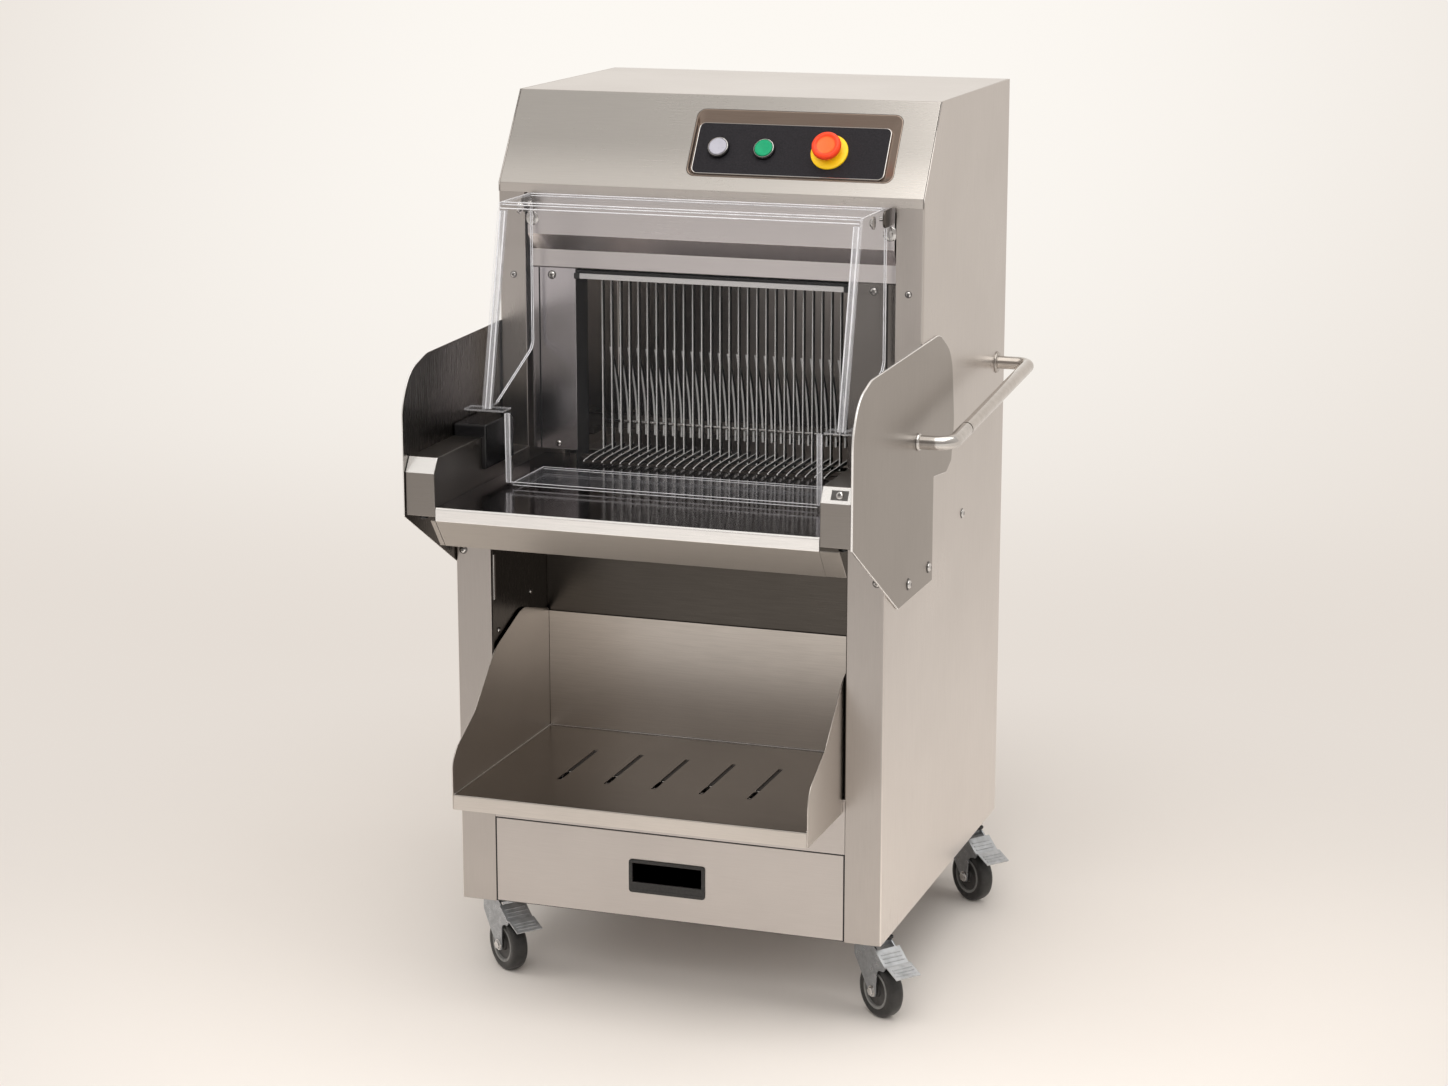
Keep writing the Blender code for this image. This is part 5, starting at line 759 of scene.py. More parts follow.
# The left fascia is painted lit, the right one painted shaded.
for (end, side), finish in zip(SIDES, (FASCIA_STEEL, DIM_FASCIA_STEEL)):
    slab("Fascia" + end, box_outline(sided(side, THROAT, HEADER_HALF), (0.752, 1.0167)), "Y",
         (BEAM, BEAM + 0.0015), finish, edge=0.0004, node="fascia_" + end.lower())
    joint = box(sided(side, *JOINT), (BEAM - 0.0003, BEAM + 0.0005), (0.7525, 1.0162), 0.0)
    shown("FasciaJoint" + end, joint, BLACK_STEEL_AND_GAP_SHADE, "dark_steel")


def make_throat():
    """Dark walls beside and over the blades, in one folded sheet, and the strip above the blades."""
    outer, foot, inner_top, top = 0.2065, 0.7369, 1.003, 1.0145
    outline = np.array([(-outer, foot), (-THROAT, foot), (-THROAT, inner_top), (THROAT, inner_top),
                        (THROAT, foot), (outer, foot), (outer, top), (-outer, top)])
    slab("ThroatWalls", outline, "Y", (0.1908, 0.2365), BLACK_STEEL_AND_GAP_SHADE, "dark_steel", 0.0003,
         node="throat_frame")
    slab("BladeStrip", box_outline((-THROAT + 0.007, THROAT - 0.007), (1.0028, 1.0105), 0.001), "Y",
         (0.1865, 0.1888), STRIP_STEEL, edge=0.0005)
    for end, side in SIDES:
        x = sided(side, THROAT - 0.0065, THROAT + 0.0015)
        slab("BladeStripEnd" + end, box_outline(x, (1.0026, 1.0107), 0.001), "Y", (0.1862, 0.1888), BLACK,
             "black_plastic", 0.0005)


make_throat()


# Blades

PITCH = 0.0139
BLADES = 28
BLADE_X = -PITCH * (BLADES - 1) / 2 + PITCH * np.arange(BLADES)
GAPS_X = BLADE_X[:-1] + PITCH / 2
BLADE_FRONT, BLADE_BACK = 0.250, 0.262


def blade(tab_front):
    """A blade whose ground front edge runs in scallops down its length, and its two end tabs.

    The front edge lies at its place + depth * |sin(pi z / pitch)|, and the section narrows to it.
    """
    low, high = 0.720, 1.020
    scallop_depth, scallop_pitch = 0.0007, 0.0075
    height = np.linspace(low, high, 121)
    front = BLADE_FRONT + scallop_depth * np.abs(np.sin(math.pi * (height - low) / scallop_pitch))
    ground, back = np.full_like(height, 0.2534), np.full_like(height, BLADE_BACK)
    thin, thick = 0.00038, 0.0005
    columns = [(-thin, front), (thin, front), (thick, ground), (thick, back), (-thick, back),
               (-thick, ground)]
    grid = np.stack([np.stack([np.full_like(height, x), y, height], 1) for x, y in columns], 1)
    # Mark 1 gives the front edge's faces the painted highlight.
    marks = [1, 1, 0, 0, 0, 1] * (len(height) - 1) + [0, 0]
    tab = (BLADE_FRONT, 0.2545) if tab_front else (0.2575, BLADE_BACK)
    seam = 0.0002
    spans = (0.6745, low - seam), (high + seam, 1.0675)
    tabs = [box((-thick, thick), tab, span, 0.0) for span in spans]
    return several([lofted(grid)] + tabs), marks + [0] * sum(len(faces) for _, faces in tabs)


def blade_frame(name, side, front):
    """Two beams and two stiles with the blades between, and the wrist pin's lug."""
    body = name.lower() + "_blades"
    outer, inner, depth, edge = 0.257, 0.243, 0.0165, 0.0008
    y, middle = (front, front + depth), front + depth / 2
    bars = [box((-outer, outer), y, z, edge) for z in ((0.662, 0.687), (1.055, 1.080))]
    bars += [box(x, y, (0.6872, 1.0548), edge) for x in ((-outer, -inner), (inner, outer))]
    bars.append(box(sided(side, 0.0948, 0.1028), (middle - 0.0078, middle + 0.0078), (0.635, 0.6618)))
    bars.append(pipe([(side * 0.0865, middle, 0.645), (side * 0.0948, middle, 0.645)], 0.005, 20))
    shown(name + "Frame", several(bars), STEEL_UP, "blade_steel", body, "blade_frame_" + name.lower())
    one, marks = blade(side < 0)
    places = BLADE_X[int(side > 0)::2]
    # The blades' flanks carry painted shade and their front edges painted highlight.
    shown(name + "Blades", row_of(one, places), [BLADE, GROUND_EDGE_HIGHLIGHT], "blade_steel", body, weld=False,
          weighted=False, smooth=math.radians(20), marks=marks * len(places))


blade_frame("Front", -1, 0.238)
blade_frame("Rear", 1, 0.2575)


def make_pusher():
    """Curved fingers behind the blades on a bar, with a bright rod along the bar's front as a painted
    highlight.

    At a share s of its height a finger stands forward by reach * s ^ 2.2, and it narrows as
    (1 - 0.55 s ^ 3) * sqrt(1 - s ^ 9) towards its round tip.
    """
    share = np.linspace(0, 1, 15)
    up = 0.758 + 0.1345 * share
    half = 0.0055 * np.clip(1.0 - 0.55 * share ** 3, 0.0, 1.0) * np.sqrt(np.clip(1.0 - share ** 9, 0.02, 1))
    middle = 0.3055 - 0.041 * share ** 2.2
    outline = np.vstack([np.stack([middle - half, up], 1), np.stack([middle + half, up], 1)[::-1]])
    finger = slab_shape(outline, "X", (-0.0015, 0.0015), 0.0006)
    marks = ([1] * (len(finger[1]) - 2) + [0, 0]) * len(GAPS_X)
    # The fingers' rims carry a painted highlight.
    shown("PusherFingers", row_of(finger, GAPS_X), [FINGER, FINGER_RIM_HIGHLIGHT], "dark_steel", "pusher",
          "pusher_comb", weld=False, marks=marks)
    edge = 0.0008
    bars = [box((-0.245, 0.285), (0.3025, 0.3105), (0.765, 0.785), edge)]
    bars += [box(sided(side, 0.2255, 0.2445), (0.3110, 0.3425), (0.7503, 0.7845), edge) for _, side in SIDES]
    bars.append(box((0.277, 0.2845), (0.3112, 0.324), (0.7655, 0.800), edge))
    bars.append(pipe([(0.2845, 0.314, 0.790), (0.2895, 0.314, 0.790)], 0.004, 20))
    shown("PusherBar", several(bars), DARK, "dark_steel", "pusher")
    # The bright rod is a painted highlight along the bar's top edge.
    rod = pipe([(-0.200, 0.2985, 0.7765), (0.200, 0.2985, 0.7765)], 0.0024, 20)
    shown("PusherHighlightRod", rod, BRIGHT, "zinc", "pusher", weighted=False)


make_pusher()


# Table, arms and wings

def make_table():
    """The table, its rolled front edge and the apron under it, folded from one sheet, and the comb."""
    front = -0.163
    section = folded([(-0.132, 0.677), (front, 0.718), (front, TABLE), (0.232, TABLE)], SHEET,
                     [0, 0.003, 0.0035, 0])
    piece = slab("InfeedTable", section, "X", (-0.2719, 0.2719), TABLE_STEEL, edge=0.0005,
                 node="infeed_table")
    recolour(piece, APRON_STEEL, lambda normal, middle: middle[:, 2] < 0.7185)
    # Painted highlight on the table's rolled front band.
    recolour(piece, EDGE_HIGHLIGHT_STEEL, lambda normal, middle: (middle[:, 2] > 0.7180) & (normal[:, 2] < 0.97)
             & (middle[:, 1] < -0.15))
    section = folded([(-0.1325, 0.6775), (-0.1632, 0.7178)], SHEET, 0)
    for end, x in (("Left", (-0.279, -0.2722)), ("Right", (0.2722, 0.300))):
        slab("ApronReturn" + end, section, "X", x, APRON_STEEL, edge=0.0004)
    back = 0.155 + 0.130 * np.array([0.0, 0.10, 0.22, 1.0])
    rise = np.array([0.0008, 0.0017, 0.0025, 0.0025])
    middle = 0.7451 + np.array([-0.0008, -0.0003, 0.0, 0.0])
    outline = np.vstack([np.stack([back, middle - rise], 1), np.stack([back, middle + rise], 1)[::-1]])
    finger = slab_shape(outline, "X", (-0.0010, 0.0010), 0.0003, 1)
    comb = shown("TableComb", row_of(finger, GAPS_X), FINGER, "dark_steel", weld=False, node="table_comb")
    # Painted highlight on the comb fingers' upward and forward faces.
    recolour(comb, FINGER_RIM_HIGHLIGHT, lambda normal, middle: (normal[:, 2] > 0.75) | (normal[:, 1] < -0.6))
    shown("TableCombBar", box((-0.2037, 0.2037), (0.205, 0.215), (TABLE + GAP, 0.7430)), DARK, "dark_steel")


make_table()

WING = [(-0.167, 0.722), (-0.167, 0.870), (-0.142, 0.917), (-0.083, 0.9335), (0.255, 0.940), (0.323, 0.903),
        (0.341, 0.800), (0.3275, 0.745), (0.300, 0.733), (0.2315, 0.740), (0.2315, 0.590), (0.056, 0.590)]
WING_RADII = [0.002, 0.066, 0.066, 0.066, 0.066, 0.066, 0.066, 0.006, 0.001, 0.0015, 0.002, 0.002]

# The left wing's face is nearly the part's outermost one, so that wing is a little thinner for its screws.
WING_FACE = {-1: 0.3176, 1: 0.3183}

for end, side in SIDES:
    # The wing plates get the shaded wing steel, with painted highlight on their rims.
    wing = slab("Wing" + end, fillet(WING, WING_RADII, 12), "X", (side * 0.3153, side * WING_FACE[side]),
                [WING_STEEL, EDGE_HIGHLIGHT_STEEL], edge=0.0009, steps=3, node="wing_" + end.lower())
    if side < 0:
        # Painted shade on the left wing's inner face.
        recolour(wing, INNER_WING_STEEL, lambda normal, middle: normal[:, 0] > 0.5)
    # The arm gets the shaded arm steel.
    arm = dressed("arm_" + end.lower(), ARM_STEEL, 0.0014, 3)
    # Painted highlight on the arm's chamfer that faces forward and up.
    recolour(arm, EDGE_HIGHLIGHT_STEEL, lambda normal, middle: (normal[:, 1] < -0.5) & (normal[:, 2] > 0.3))

# The black blocks under the guard's feet
BLOCK = fillet([(0.0, 0.7573), (0.100, 0.7573), (0.100, 0.812), (0.092, 0.820), (0.0, 0.820)],
               [0.001, 0.001, 0.003, 0.003, 0.004])
for end, side in SIDES:
    slab("GuardBlock" + end, BLOCK, "X", (side * 0.2657, side * 0.3145), BLACK_GLOSS, "black_plastic",
         0.0025, 4, node="guard_block_" + end.lower())


# Clear guard

def guard_sheet(name, outline, axis, span, finish, edge=0.0004, node=None):
    """A flat clear piece that swings with the guard."""
    slab(name, outline, axis, span, finish, "clear_plastic", edge, body="guard", node=node)


def glints(name, lines, radius=0.0007):
    """Thin round beads laid along a clear sheet's edges as painted highlights, where it gathers the light."""
    beads = [pipe(line, radius, 8) for line in lines]
    shown(name, several(beads), GLINT, "clear_plastic", "guard", weighted=False, weld=False)


def across(half, places):
    """Lines along X at (y, z) places."""
    return [[(-half, y, z), (half, y, z)] for y, z in places]


def make_guard():
    """The clear guard: a folded front and ledge, two side sheets, a lower sheet with its flange, and feet."""
    thick, pivot_height = 0.004, 1.088
    front = folded([(-0.018, 0.845), (0.051, 1.126), (0.160, 1.126)], thick, [0, 0.007, 0], 8)
    guard_sheet("GuardFront", front, "X", (-0.2598, 0.2598), [CLEAR_EDGE, CLEAR], node="clear_guard")
    glints("GuardFrontGlints", across(0.2592, ((0.0488, 1.1180), (0.0570, 1.1255), (0.0560, 1.1222),
                                               (0.1596, 1.1256), (0.1596, 1.1226))), 0.0008)
    outline = fillet([(-0.0178, 0.8458), (0.030, 0.8458), (0.168, 0.905), (0.168, 1.1155), (0.1595, 1.1257),
                      (0.0512, 1.1257)], [0.001, 0.006, 0.010, 0.004, 0.004, 0.007])
    rims = [(0.0330, 0.8474), (0.1590, 0.9015), (0.1672, 0.9120), (0.1675, 1.1120)]
    strut = fillet([(-0.0170, 0.8465), (-0.0085, 0.8465), (0.0575, 1.1150), (0.0480, 1.1150)], 0.0008)
    knob = [(0, 6.2), (3.2, 6.0), (5.5, 4.8), (6.6, 2.8), (7.2, 2.2), (8.6, 2.0), (9.0, 1.4), (9.0, 0),
            (0, 0)]
    stud = [(0, 15.0), (4.0, 15.0), (4.6, 14.0), (4.6, 12.4), (8.8, 12.0), (10.5, 10.8), (10.5, 9.0),
            (6.0, 8.6), (6.0, 0), (0, 0)]
    upright = folded([(-0.0150, 0.7440), (-0.0169, 0.8425)], thick, 0)
    for end, side in SIDES:
        guard_sheet("GuardSide" + end, outline, "X", (side * 0.2601, side * 0.2639), [CLEAR, CLEAR_EDGE])
        glints("GuardSideGlints" + end, [[(side * x, y, z) for y, z in rims] for x in (0.2606, 0.2634)]
               + [[(side * 0.2620, 0.0512, 1.1252), (side * 0.2620, 0.1590, 1.1252)]])
        guard_sheet("GuardStrut" + end, strut, "X", (side * 0.2515, side * 0.2595), CLEAR_EDGE, 0.0006)
        glints("GuardStrutGlints" + end, [[(side * x, -0.0166, 0.8470), (side * x, 0.0480, 1.1140)]
                                          for x in (0.2521, 0.2588)], 0.0011)
        foot = fillet([(side * 0.232, -0.0174), (side * 0.2918, -0.0174), (side * 0.2918, 0.012),
                       (side * 0.232, 0.012)], [0.001, 0.004, 0.004, 0.001])
        guard_sheet("GuardFoot" + end, foot, "Z", (0.8430, 0.8456), [CLEAR, CLEAR_EDGE])
        lathe("HingeStud" + end, stud, (side * 0.2655, BEAM, pivot_height), (0, -1, 0), BRIGHT, sides=36)
        lathe("GuardKnob" + end, knob, (side * 0.2599, 0.118, 1.1105), (-side, 0, 0), BRIGHT, sides=36,
              body="guard")
        guard_sheet("GuardLowerEnd" + end, upright, "X", (side * 0.2226, side * 0.2300), CLEAR_EDGE, 0.0006)
        glints("GuardEndGlints" + end, [[(side * x, -0.0152, 0.7445), (side * x, -0.0171, 0.8420)]
                                        for x in (0.2232, 0.2294)], 0.0008)
    lower = folded([(0.105, 0.7396), (-0.015, 0.7396), (-0.0170, 0.8440)], thick, [0, 0.007, 0], 8)
    guard_sheet("GuardLower", lower, "X", (-0.2225, 0.2225), [CLEAR_EDGE, CLEAR])
    half = 0.2220
    glints("GuardLowerGlints", across(half, ((-0.0152, 0.7455), (-0.0100, 0.7402), (0.1046, 0.7402),
                                             (0.1046, 0.7430))), 0.0005)
    glints("GuardFlangeGlints", [[(x, -0.0080, 0.7432), (x, 0.1040, 0.7432)] for x in (-half, half)])


make_guard()


# Lever

def make_lever():
    """The bar handle: its rear leg turns in the bush and its front end turns in to a small flange."""
    out, rear, front = 0.366, (0.600, 0.842), (0.145, 0.807)
    path = fillet([(0.3055, *rear), (out, *rear), (out, *front), (0.3200, *front)], [0, 0.018, 0.034, 0],
                  14, closed=False)
    along = unit(np.array((0.0, rear[0] - front[0], rear[1] - front[1])))
    joint = np.array((out, *front)) + along * 0.078
    split = np.argmax(path[:, 1] < joint[1])
    bar = pipe(np.vstack([path[:split], joint[None] + along * 0.004]), 0.0098)
    shown("LeverBar", bar, HANDLE_STEEL, body="lever", weighted=False, node="lever_handle")
    elbow = pipe(np.vstack([joint[None], path[split:]]), 0.0100)
    shown("LeverElbow", elbow, SATIN_CAST, body="lever", weighted=False)
    ring = [(0, -5), (8.8, -5), (8.8, 5), (0, 5)]
    lathe("LeverJoint", ring, joint + along * 0.002, along, DARK, sides=28, body="lever")
    flange = [(0, 4.2), (10.0, 4.2), (11.0, 3.6), (11.8, 2.6), (12.2, 1.4), (12.2, 0), (0, 0)]
    lathe("LeverFlange", flange, (0.3187, *front), (1, 0, 0), SATIN_CAST, "stainless", body="lever")
    bush = [(10.3, 2.4), (15.0, 2.4), (15.8, 1.8), (16.2, 0.8), (16.2, 0), (15.0, 0), (15.0, -5), (10.3, -5),
            (10.3, 3.0)]
    lathe("LeverBush", bush, (0.3153, *rear), (1, 0, 0), STEEL_IN, "stainless", 44, node="lever_bush")


make_lever()


# Bay, shelf tray and drawer

BAY_HALF, BAY_FOOT, BAY_BACK, BAY_WALL = 0.2600, 0.3285, 0.2047, 0.0012


def make_bay():
    """The bay's walls and back, and the rail that goes on back as the bay's floor."""
    height = (BAY_FOOT, 0.715)
    for end, side in SIDES:
        slab("BayWall" + end, box_outline((0.0023, BAY_BACK), height), "X", (side * 0.2603, side * 0.2615),
             BAY_SIDE_STEEL, "dark_steel", 0.0003)
    slab("BayBack", box_outline((-BAY_HALF, BAY_HALF), height), "Y", (BAY_BACK - BAY_WALL, BAY_BACK),
         BAY_STEEL, "dark_steel", 0.0003, node="bay_liner")
    floor = 0.3282
    section = folded([(0.0, 0.2485), (0.0, floor), (BAY_BACK, floor)], SHEET, [0, 0.003, 0])
    slab("FrontRail", section, "X", (-0.2617, 0.2617), STEEL, edge=0.0005, node="front_rail")
    shown("BayCatch", box((-0.2602, -0.2590), (0.0040, 0.0090), (0.568, 0.634), 0.0003), BRIGHT, "zinc")


make_bay()


def make_tray():
    """The shelf: floor, front lip and back folded from one sheet, and two sides welded on."""
    front, back, low, top, lip = -0.158, 0.200, 0.3285, 0.3300, 0.3085
    section = folded([(front, lip), (front, top), (back, top), (back, 0.505)], 0.0015, [0, 0.002, 0.0005, 0])
    tray = slab("ShelfTray", section, "X", (-0.256, 0.256), TRAY_STEEL, edge=0.0004, node="shelf_tray")
    slots = -0.144 + 0.0702 * np.arange(5)
    half, margin = 0.0034, 0.004
    cut_out(tray, several([slab_shape(box_outline((x - half, x + half), (-0.045, 0.100), 0.0015, 4), "Z",
                                      (low - margin, top + margin), 0.0) for x in slots]))
    # Painted shade: the tray's upward faces get a darker copy of its steel.
    recolour(tray, SHADED_TRAY_FLOOR_STEEL, lambda normal, middle: normal[:, 2] > 0.9)
    # Painted shade: thin dark sheets under and round the slots, so that the slots look dark through.
    x, y, z = (-0.158, 0.152), (-0.052, -0.0012), (0.3162, 0.3284)
    walls = [((x[0], -0.157), -0.0505), ((0.151, x[1]), -0.0505)]
    pan = [box(x, y, (0.3150, 0.3160), 0.0003), box(x, (y[0], -0.051), z, 0.0003)]
    pan += [box(span, (start, y[1]), z, 0.0003) for span, start in walls]
    pan.append(box(x, (0.0005, 0.108), (0.3283, 0.32845), 0.0))
    shown("SlotShade", several(pan), BLACK_STEEL_AND_GAP_SHADE, "dark_steel")
    outline = fillet([(front, lip), (front, 0.385), (-0.080, 0.425), (0.000, 0.500), (0.100, 0.535),
                      (back, 0.5085), (back, low), (-0.002, low), (-0.002, lip)],
                     [0.001, 0.04, 0.05, 0.06, 0.06, 0.001, 0, 0, 0.001], 12)
    bead = 0.0011
    for end, side in SIDES:
        slab("TraySide" + end, outline, "X", (side * 0.2562, side * 0.2577), TRAY_STEEL, edge=0.0005)
        seam = pipe([(side * 0.2552, -0.155, 0.3305), (side * 0.2552, 0.199, 0.3305)], bead, 10)
        shown("TraySeam" + end, seam, BRIGHT, weighted=False)
    seam = pipe([(-0.255, 0.1992, 0.3306), (0.255, 0.1992, 0.3306)], bead, 10)
    shown("TraySeamBack", seam, BRIGHT, weighted=False)


make_tray()

dressed("crumb_drawer", STEEL, 0.0007, 2, "drawer")
GAP_SIDE = (0.1230, 0.2480)
# Painted shade: black strips behind the drawer's gaps.
shown("DrawerGapShade", several([box(x, (0.0006, 0.0018), z, 0.0) for x, z in (
    ((0.2602, 0.2622), GAP_SIDE), ((-0.2622, -0.2602), GAP_SIDE), ((-0.2617, 0.2617), (0.2468, 0.2487)))]),
      BLACK_STEEL_AND_GAP_SHADE, "dark_steel")
dressed("drawer_pull", PULL_BLACK, 0.0009, 3, "drawer")


# Castors

HEADING = math.radians(-38)
CASTORS = {"front_left": (-0.284, 0.062), "front_right": (0.284, 0.062), "rear_left": (-0.284, 0.571),
           "rear_right": (0.284, 0.571)}
AXLE = np.array((0.025, 0.0, 0.040))
FORK = fillet([(-0.018, 0.110), (-0.018, 0.083), (0.0160, 0.0395), (0.0175, 0.0315), (0.0250, 0.0310),
               (0.0330, 0.0335), (0.0340, 0.0400), (0.0355, 0.0745), (0.0520, 0.0765), (0.0575, 0.0855),
               (0.0260, 0.1105)],
              [0.003, 0.012, 0.004, 0.005, 0.003, 0.005, 0.004, 0.009, 0.003, 0.003, 0.004])

# Turned parts of a castor, in millimetres
CROWN = [(0, 111.3), (16.0, 111.3), (16.5, 110.8), (22.5, 110.5), (23.0, 109.8), (23.0, 106.0), (21.5, 103.6),
         (0, 103.2)]
BOLT_WASHER = [(0, 1.2), (7.8, 1.2), (8.2, 0.8), (8.2, 0), (0, 0)]
BOLT_HEAD = [(0, 4.0), (5.2, 4.0), (6.4, 3.4), (6.4, 1.0), (0, 1.0)]
HALF_HUB = [(4.3, 12.0), (8.5, 12.0), (10.0, 11.2), (10.4, 8.5), (15.0, 7.8), (22.5, 7.8), (24.2, 8.6),
            (26.2, 10.8), (27.2, 11.2)]
HUB_EDGE = [(23.0, 8.0), (23.6, 11.2), (26.8, 11.8), (27.4, 11.2), (26.8, 8.6), (23.0, 8.0)]
HALF_TREAD = [(27.3, 11.0), (29.0, 11.8), (33.5, 12.0), (36.6, 11.3), (38.6, 9.5), (39.6, 6.8), (40.0, 3.4)]


def mirrored(profile):
    """A closed profile from its upper half."""
    return profile + [(radius, -height) for radius, height in profile[::-1]] + profile[:1]


def at_castor(points, place):
    """Points of a castor's own frame, whose x is where the pedal points, in the machine's frame."""
    points = np.asarray(points, float)
    cosine, sine = math.cos(HEADING), math.sin(HEADING)
    return np.stack([place[0] + points[:, 0] * cosine - points[:, 1] * sine,
                     place[1] + points[:, 0] * sine + points[:, 1] * cosine, points[:, 2]], 1)


def castor(end, place):
    """A swivel castor: ball race, fork with its ears, axle bolt, wheel and ribbed brake pedal."""

    def add(name, shape, finish, slot, body, **more):
        title = name + end.replace("_", " ").title().replace(" ", "")
        return shown(title, (at_castor(shape[0], place), shape[1]), finish, slot, body, **more)

    swivel, wheel, sideways = "swivel_" + end, "wheel_" + end, (0, 1, 0)
    parts = [slab_shape(FORK, "Y", (side * 0.0145, side * 0.0170), 0.0006) for _, side in SIDES]
    parts.append(turned(CROWN, (0, 0, 0), (0, 0, 1), 36))
    parts.append(box((-0.0175, 0.0255), (-0.0144, 0.0144), (0.1036, 0.1102), 0.0006))
    add("CastorFork", several(parts), ZINC, "zinc", swivel, node="castor_fork_" + end)
    bolts = [turned(profile, AXLE + (0, side * 0.0171, 0), (0, side, 0), sides)
             for _, side in SIDES for profile, sides in ((BOLT_WASHER, 28), (BOLT_HEAD, 6))]
    bolts.append(pipe([AXLE - (0, 0.0172, 0), AXLE + (0, 0.0172, 0)], 0.0039, 16))
    add("CastorBolt", several(bolts), BRIGHT, "zinc", swivel)
    plate = fillet(box_outline((-0.0275, 0.0275), (-0.020, 0.020)), 0.004)
    add("CastorPlate", slab_shape(plate, "Z", (0.1118, 0.1156), 0.0005, 1), BLACK, "black_plastic", "cabinet")
    add("CastorHub", turned(mirrored(HALF_HUB), AXLE, sideways, 48), HUB, "wheel_tyre", wheel, weighted=False)
    rings = several([turned(HUB_EDGE, AXLE, (0, side, 0), 48) for _, side in SIDES])
    add("CastorRings", rings, HUB_RING, "wheel_tyre", wheel, weighted=False)
    add("CastorTyre", turned(mirrored(HALF_TREAD), AXLE, sideways, 64), RUBBER, "wheel_tyre", wheel,
        weighted=False, node="castor_wheel_" + end)
    add("CastorPedal", pedal_shape(), ZINC_DARK, "zinc", "pedal_" + end, node="brake_pedal_" + end)


def pedal_shape():
    """The stepped brake pedal over the fork's ears, with raised ribs across both treads.

    The first tread runs along the ears' slope, and the second one falls at 24 degrees.
    """
    top = np.array((0.026, 0.1115))
    edge = unit(np.array((0.0575, 0.0855)) - top)
    out = np.array((-edge[1], edge[0]))
    start = top + edge * ((np.array((0.036, 0.102)) - top) @ edge) + out * 0.0008
    knee = start + edge * 0.030
    step = knee + out * 0.004
    fall = math.radians(-24)
    second = np.array((math.cos(fall), math.sin(fall)))
    section = folded([start, knee, step + second * 0.002, step + second * 0.028], -0.002,
                     [0, 0.0012, 0.0015, 0], 3)
    parts = [slab_shape(section, "Y", (-0.021, 0.021), 0.0006)]
    half = 0.0165
    treads = (start, edge, (0.009, 0.0155, 0.022)), (step, second, (0.010, 0.016, 0.022))
    for origin, along, places in treads:
        normal = np.array((-along[1], along[0]))
        for place in places:
            x, z = origin + along * place + normal * 0.0021
            parts.append(pipe([(x, -half, z), (x, half, z)], 0.0011, 12))
    return several(parts)


for end, place in CASTORS.items():
    castor(end, place)


# Screws and bumpers

def arm_screw():
    """The screw on the right arm's chamfered front end, over a thin dark sheet that paints its pocket's
    shade.
    """
    out = np.array((0.0, -0.8385, 0.5450))
    place = np.array((0.2975, -0.1565, 0.7930))
    rise = np.cross(out, (1, 0, 0))
    half_width, half_height, depth = 0.0115, 0.0068, 0.0004
    rings = [[place + x * half_width * np.array((1, 0, 0)) + y * half_height * rise + z * out
              for x, y in ((-1, -1), (1, -1), (1, 1), (-1, 1))] for z in (0, depth)]
    shown("ArmScrewPocket", lofted(rings), WASHER, "dark_steel")
    screw("ArmScrewRight", place + depth * out, tuple(out), 5.4, 2.6)


def make_screws():
    """The screws that the photograph shows, and their like on the sides and back, and the arms' bumpers.

    A row is (name, place, axis, head's radius, its height, washer's radius), the last three in millimetres.
    """
    ahead = (0, -1, 0)
    for end, side in SIDES:
        out, inward, face = (side, 0, 0), (-side, 0, 0), side * WING_FACE[side]
        rise, ring = (3.4, 8.5) if side > 0 else (0.7, 0)
        for name, place, axis, radius, height, washer in (
                ("FasciaScrewTop", (side * 0.240, BEAM, 1.0062), ahead, 5.2, 3.0, 6.2),
                ("FasciaScrewLow", (side * 0.2325, BEAM, 0.7605), ahead, 4.2, 2.6, 5.0),
                ("FlangeScrew", (side * 0.2935, STEP, 1.0062), ahead, 4.2, 2.4, 5.0),
                ("WingScrewFront", (face, 0.1055, 0.614), out, 6.2, rise, ring),
                ("WingScrewBack", (face, 0.210, 0.614), out, 6.2, rise, ring),
                ("SideScrew", (side * HALF, 0.4073, 0.6495), out, 6.6, 2.4, 7.4),
                ("PostScrew", (side * 0.3035, 0.0, 0.639), ahead, 4.6, 3.0, 6.2),
                ("BayScrewBack", (side * 0.2602, 0.141, 0.548), inward, 4.0, 2.4, 0),
                ("BayScrewFront", (side * 0.2602, 0.022, 0.520), inward, 4.0, 2.4, 0)):
            screw(name + end, place, axis, radius, height, washer)
        if side > 0:
            arm_screw()
        bumper = [(0, 0), (6.2, 0), (6.8, -1.2), (6.0, -6.6), (4.4, -7.8), (0, -7.8)]
        lathe("ArmBumper" + end, bumper, (side * 0.298, -0.142, 0.7233), (0, 0, 1), BLACK,
              "black_plastic", 28)
    head = [(0, 0.9), (3.4, 0.8), (4.8, 0.4), (5.0, 0), (5.0, -0.5), (0, -0.5)]
    for row, height in enumerate((0.150, 0.690, 1.235)):
        for column, x in enumerate((-0.298, 0.0, 0.298)):
            lathe("RearScrew%d%d" % (row, column), head, (x, DEPTH - 0.0009, height), (0, 1, 0), BRIGHT,
                  sides=24)


make_screws()


# Inner drive, seen only through gaps

for node, finish in {"drive_motor": PAINT, "drive_belt": BLACK, "drive_bridge": STEEL, "crankshaft": BRIGHT,
                     "motor_pulley": ZINC, "con_rod_left": ZINC, "con_rod_right": ZINC, "lever_arm": ZINC,
                     "pusher_link": ZINC, "slice_rest": STEEL_IN, "blade_guide_left": STEEL_UP,
                     "blade_guide_right": STEEL_UP, "base_frame": BLACK_STEEL_AND_GAP_SHADE}.items():
    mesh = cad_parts[node].data
    mesh.materials.clear()
    mesh.materials.append(finish)


# Floor, light and camera

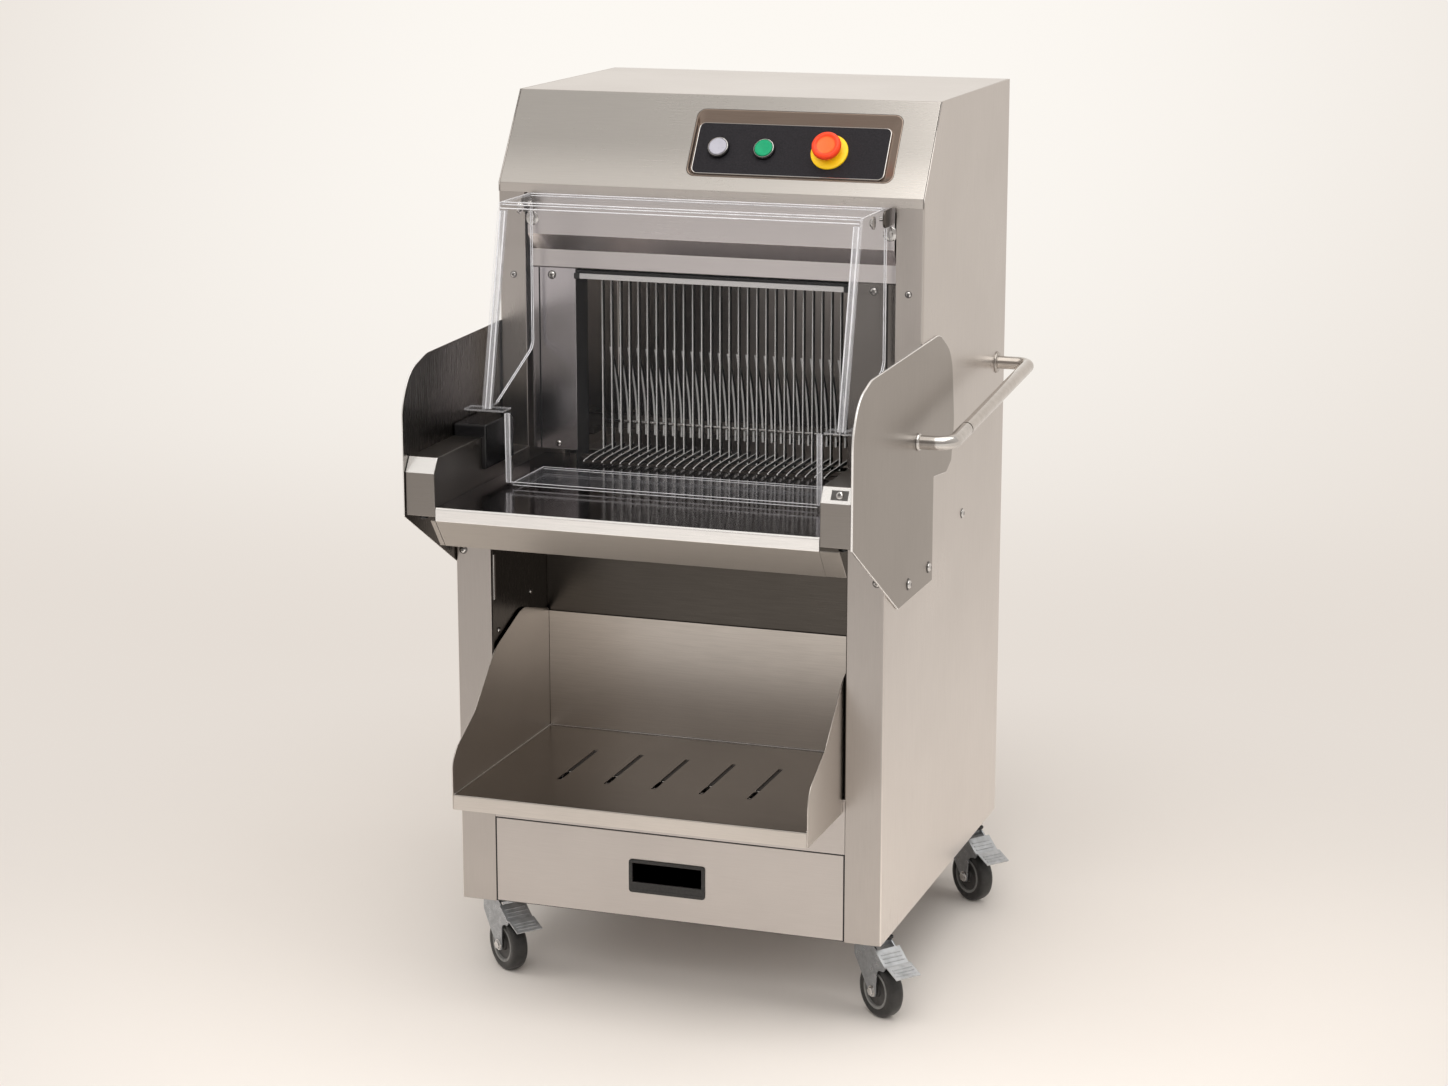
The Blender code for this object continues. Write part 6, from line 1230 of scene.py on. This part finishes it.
def make_floor():
    """A sweep: level floor, then a quarter round up to an upright backdrop, carried along X.

    Near the machine it is a plain diffuse floor that keeps its shadow; further off, what the
    camera and reflections see passes over to a glowing pale tone with painted light, a pool that
    falls off round a bright middle: tone = middle + (rim - middle) * smoothstep(distance from the
    bright middle), and painted shade that darkens the front towards the left.
    """
    angle = np.linspace(0, math.pi / 2, 17)
    back = np.concatenate([[-9.0, 0.0], 3.0 + 2.0 * np.sin(angle), [5.0]])
    height = np.concatenate([[0.0, 0.0], 2.0 - 2.0 * np.cos(angle), [7.0]])
    rows = [np.stack([np.full_like(back, x), back, height], 1) for x in np.linspace(-9, 9, 7)]
    mesh = bpy.data.meshes.new("Sweep")
    mesh.from_pydata(np.vstack(rows).tolist(), [], grid_faces(len(rows), len(back), False))
    mesh.shade_smooth()
    floor = linked("Sweep", mesh)
    material, tree, shader = shader_of("pale sweep")
    fed(tree, shader, {"Base Color": (0.77, 0.735, 0.705, 1), "Roughness": 0.62, "Specular IOR Level": 0.15})
    place = object_place(tree)

    def away(point, low, high):
        distance = wired(tree, "VectorMath", "Value", {0: place, 1: point}, operation="DISTANCE")
        return smooth_step(tree, distance, low, high)

    rays = tree.nodes.new("ShaderNodeLightPath").outputs
    seen = rays["Is Camera Ray"]
    for title in ("Is Glossy Ray", "Is Transmission Ray"):
        seen = wired(tree, "Math", 0, {0: seen, 1: rays[title]}, operation="MAXIMUM")
    share = wired(tree, "Math", 0, {0: away((0.0, 0.0, 0.0), 0.70, 1.6), 1: seen}, operation="MULTIPLY")
    # Painted light on the backdrop: a pool of light round a bright middle.
    wall = tinted(tree, away((-1.6, 4.9, 1.1), 0.5, 3.8), (0.98, 0.945, 0.895), (0.785, 0.725, 0.668))
    split = tree.nodes.new("ShaderNodeSeparateXYZ")
    fed(tree, split, {0: place})
    # Painted shade: the floor in front is darker towards the left.
    across_step = smooth_step(tree, split.outputs["X"], -2.4, -0.2)
    front = tinted(tree, across_step, (0.60, 0.555, 0.52), (0.90, 0.85, 0.80))
    tone = tinted(tree, smooth_step(tree, split.outputs["Y"], -2.5, 0.5), front, wall)
    glow = wired(tree, "Emission", 0, {"Color": tone})
    surface = wired(tree, "MixShader", 0, {0: share, 1: shader.outputs[0], 2: glow})
    fed(tree, tree.nodes["Material Output"], {"Surface": surface})
    mesh.materials.append(material)


def make_world():
    """A soft studio round the machine: bright above, dimmer behind the camera."""
    world = bpy.data.worlds.new("studio")
    bpy.context.scene.world = world
    world.use_nodes = True
    tree = world.node_tree
    split = tree.nodes.new("ShaderNodeSeparateXYZ")
    fed(tree, split, {0: wired(tree, "TexCoord", "Generated", {})})
    ahead = smooth_step(tree, split.outputs["Y"], -0.75, 0.35)
    low = tinted(tree, ahead, (0.62, 0.575, 0.54), (0.86, 0.81, 0.76))
    colour = tinted(tree, smooth_step(tree, split.outputs["Z"], 0.25, 0.95), low, (0.96, 0.93, 0.885))
    fed(tree, tree.nodes["Background"], {"Color": colour, "Strength": 0.70})


make_floor()
make_world()


def softbox(name, place, aim, size, power, glossy=False):
    """A soft rectangular lamp that faces a point."""
    light = bpy.data.lights.new(name, "AREA")
    light.shape = "RECTANGLE"
    light.size, light.size_y = size
    light.energy = power
    light.color = (1.0, 0.97, 0.93)
    lamp = linked(name, light)
    lamp.location = place
    lamp.rotation_mode = "QUATERNION"
    lamp.rotation_quaternion = (Vector(aim) - Vector(place)).to_track_quat("-Z", "Y")
    lamp.visible_glossy = glossy


softbox("above", (1.0, -0.75, 3.3), (1.0, -0.73, 0.0), (2.5, 3.6), 44.0, True)
softbox("fill", (-0.5, -1.5, 3.2), (0.0, -0.2, 0.6), (2.0, 2.0), 25.0)
softbox("side", (3.2, -0.4, 1.2), (0.0, 0.0, 0.5), (1.8, 2.0), 24.0)
softbox("left", (-2.6, -1.0, 1.8), (0.0, 0.0, 0.7), (1.6, 2.0), 12.0)
softbox("front", (0.7, -3.3, 2.3), (0.0, -0.1, 0.5), (2.2, 1.8), 50.0)


def make_camera():
    """The photograph's viewpoint, found from the cabinet's own edges."""
    lens = bpy.data.cameras.new("view")
    lens.lens = 78.0
    lens.sensor_width = 36.0
    lens.clip_start, lens.clip_end = 0.05, 60.0
    camera = linked("view", lens)
    camera.location = np.array((1.44098, -3.95315, 1.67308)) - SHIFT
    camera.rotation_euler = (math.radians(90 - 13.387), 0.0, math.radians(18.928))
    bpy.context.scene.camera = camera


make_camera()
bpy.context.scene.view_settings.view_transform = "Standard"
